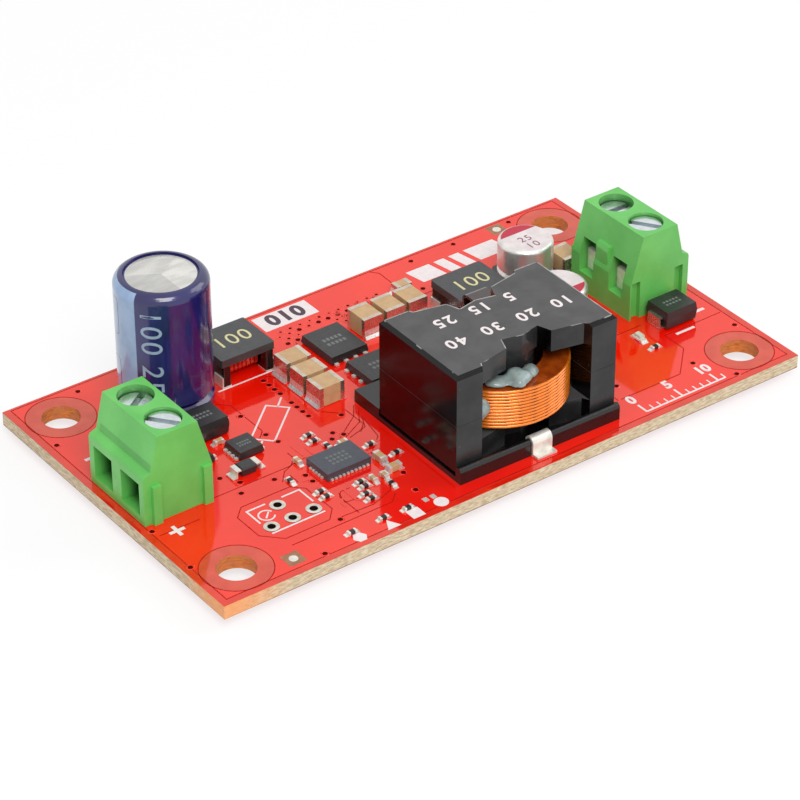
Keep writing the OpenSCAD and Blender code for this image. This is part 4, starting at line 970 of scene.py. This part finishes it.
def core_rim():
    """Pale line along the far rim of the core's top, partly wear and partly painted highlight."""
    width, height = 0.12, 0.015
    obj = NODES["inductor_core_upper"]
    points = [obj.matrix_world @ v.co / MM for v in obj.data.vertices]
    top = max(p.z for p in points)
    faces = [f for f in obj.data.polygons if all(points[i].z > top - 0.01 for i in f.vertices)]
    uses = collections.Counter(key for f in faces for key in f.edge_keys)
    mesh = bmesh.new()
    for face in faces:
        ring = list(face.vertices)
        for i, j in zip(ring, ring[1:] + ring[:1]):
            a, b = points[i], points[j]
            out = Vector((b.y - a.y, a.x - b.x, 0)).normalized()
            if uses[tuple(sorted((i, j)))] > 1 or out.x + out.y < 0.2:
                continue
            outline = [(p.x, p.y) for p in (a - width * out, a, b, b - width * out)]
            plate(mesh, outline, top, height)
    return piece("core_rim", mesh, RIM_WEAR_AND_HIGHLIGHT)


def can_vent():
    """Scored top of the large can: three bulging leaves between three creases."""
    low, high = span("electrolytic_can")
    axis = (low + high) / 2
    circles, sides, height = 8, 72, 0.13
    mesh = bmesh.new()
    rings = [[mesh.verts.new((axis.x, axis.y, high.z + 0.02))]]
    for i in range(1, circles + 1):
        share = i / circles
        dome = height * math.sin(math.pi * min(1, 0.2 + 0.8 * share))
        ring = []
        for k in range(sides):
            # place across the leaf, from one crease to the next
            leaf = (360 * k / sides + 90) % 120 / 120
            bulge = min(1, 5 * min(leaf, 1 - leaf)) * (0.35 + 0.65 * leaf)
            # the outermost circle dips into the can
            z = high.z + 0.02 + dome * bulge if i < circles else high.z - 0.01
            ring.append(mesh.verts.new((*around(axis, VENT_R * share, math.tau * k / sides), z)))
        rings.append(ring)
    skin(mesh, rings)
    return piece("can_vent", mesh, ALUMINIUM)


def smeared_glue():
    """The CAD beads melted together into one uneven smear."""
    obj = add("glue_melt", NODES["inductor_adhesive"].data.copy())
    melt = obj.modifiers.new("melt", "REMESH")
    melt.mode = "VOXEL"
    melt.voxel_size = 0.14 * MM
    soft = obj.modifiers.new("soft", "SMOOTH")
    soft.factor = 0.5
    soft.iterations = 24
    mesh = bmesh.new()
    mesh.from_mesh(baked(obj))
    bmesh.ops.scale(mesh, vec=(1 / MM, 1 / MM, 1 / MM), verts=mesh.verts)
    mesh.normal_update()
    coil_top = span("inductor_winding")[1].z
    # lumps a few millimetres apart, and flatter where they stand above the coil
    for v in mesh.verts:
        lump = noise.noise(v.co * 0.55) * 0.5 + noise.noise(v.co * 1.5) * 0.1
        v.co += v.normal * lump
        if v.co.z > coil_top:
            v.co.z = coil_top + (v.co.z - coil_top) * 0.72
    for f in mesh.faces:
        f.smooth = True
    made = piece("inductor_glue", mesh, GLUE)
    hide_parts("inductor_adhesive")
    return made


def block_rib():
    """Upright rib between the two test openings of each block's inner wall."""
    half_w = 1.05
    # depth into the wall and height over the board
    profile = [(0.16, 2.0), (0.16, 6.7), (0.42, 7.3), (1.2, 7.4), (1.2, 2.0)]
    for end, sign in (("input", -1), ("output", 1)):
        low, high = span(f"{end}_terminal_housing")
        wall = low.x if sign > 0 else high.x
        y = (low.y + high.y) / 2 - 0.02
        mesh = bmesh.new()
        sides = [
            [mesh.verts.new((wall + sign * dx, y + half, TOP + z)) for dx, z in profile]
            for half in (-half_w, half_w)
        ]
        mesh.faces.new(sides[0])
        mesh.faces.new(sides[1][::-1])
        skin(mesh, sides)
        bmesh.ops.bevel(mesh, geom=mesh.edges[:], offset=0.06, segments=2, affect="EDGES")
        piece(f"{end}_block_rib", mesh, GREEN)


# ---- Stage, light and camera ----

def stage():
    """Pale floor, seen white by the camera and by reflections, that still takes the shadow."""
    mesh = bmesh.new()
    bmesh.ops.create_grid(mesh, x_segments=1, y_segments=1, size=3)
    data = bpy.data.meshes.new("floor")
    mesh.to_mesh(data)
    mesh.free()
    floor = add("floor", data)
    floor.location.z = cad_low.z
    g = Graph("pale_floor")
    g.shader.inputs["Base Color"].default_value = (0.86, 0.86, 0.86, 1)
    g.shader.inputs["Roughness"].default_value = 0.9
    g.shader.inputs["Specular IOR Level"].default_value = 0.1
    glow = g.new("ShaderNodeEmission")
    glow.inputs["Color"].default_value = (1, 1, 1, 1)
    seen = g.new("ShaderNodeLightPath")
    direct = g.op("MAXIMUM", seen.outputs["Is Camera Ray"], seen.outputs["Is Glossy Ray"])
    share = g.times(direct, 0.72)
    blend = g.new("ShaderNodeMixShader")
    g.feed(blend.inputs[0], share)
    g.feed(blend.inputs[1], g.shader.outputs[0])
    g.feed(blend.inputs[2], glow.outputs[0])
    g.feed(g.tree.nodes["Material Output"].inputs["Surface"], blend.outputs[0])
    data.materials.append(g.material)


def world():
    """White surroundings: full strength where seen directly, softer as light on the object."""
    w = bpy.data.worlds.new("studio")
    bpy.context.scene.world = w
    w.use_nodes = True
    tree = w.node_tree
    back = tree.nodes["Background"]
    back.inputs["Color"].default_value = (1, 1, 1, 1)
    rays = tree.nodes.new("ShaderNodeLightPath")
    seen = rays.outputs["Is Camera Ray"]
    for kind in ("Is Glossy Ray", "Is Transmission Ray"):
        either = tree.nodes.new("ShaderNodeMath")
        either.operation = "MAXIMUM"
        tree.links.new(seen, either.inputs[0])
        tree.links.new(rays.outputs[kind], either.inputs[1])
        seen = either.outputs[0]
    level = tree.nodes.new("ShaderNodeMapRange")
    tree.links.new(seen, level.inputs["Value"])
    level.inputs["To Min"].default_value = 0.55
    level.inputs["To Max"].default_value = 1.0
    tree.links.new(level.outputs[0], back.inputs["Strength"])


def lamp(name, at, size, power):
    """Round soft lamp that points at the origin; metres and watts."""
    light = bpy.data.lights.new(name, "AREA")
    light.shape = "DISK"
    light.size = size
    light.energy = power
    obj = add(name, light)
    obj.location = at
    obj.rotation_mode = "QUATERNION"
    obj.rotation_quaternion = (-Vector(at)).to_track_quat("-Z", "Y")


def camera():
    """Camera at the photograph's viewing angle."""
    azimuth, elevation, roll = (math.radians(v) for v in (-36.399, 33.934, -0.144))
    target = Vector((-0.941, -0.331, 0)) * MM
    distance = 353.112 * MM
    level = math.cos(elevation)
    back = Vector((math.sin(azimuth) * level, -math.cos(azimuth) * level, math.sin(elevation)))
    right = Vector((0, 0, 1)).cross(back).normalized()
    up = back.cross(right)
    axes = (
        math.cos(roll) * right + math.sin(roll) * up,
        math.cos(roll) * up - math.sin(roll) * right,
        back,
    )
    data = bpy.data.cameras.new("camera")
    data.sensor_width = 36
    data.lens = 148.194
    data.clip_start = 0.01
    data.clip_end = 10
    obj = add("camera", data)
    turn = Matrix(axes).transposed().to_4x4()
    obj.matrix_world = Matrix.Translation(target + back * distance) @ turn
    bpy.context.scene.camera = obj


bpy.context.scene.view_settings.view_transform = "Standard"
finish_cad()
pour_gaps()
signal_traces()
vias()
bare_pads()
board_print()
part_marks()
sleeve_figures()
coil_edges()
core_rim()
can_vent()
smeared_glue()
block_rib()
stage()
world()
lamp("key", (-0.25, -0.55, 0.75), 0.6, 7)
lamp("fill", (0.7, -0.2, 0.5), 0.6, 2)
camera()
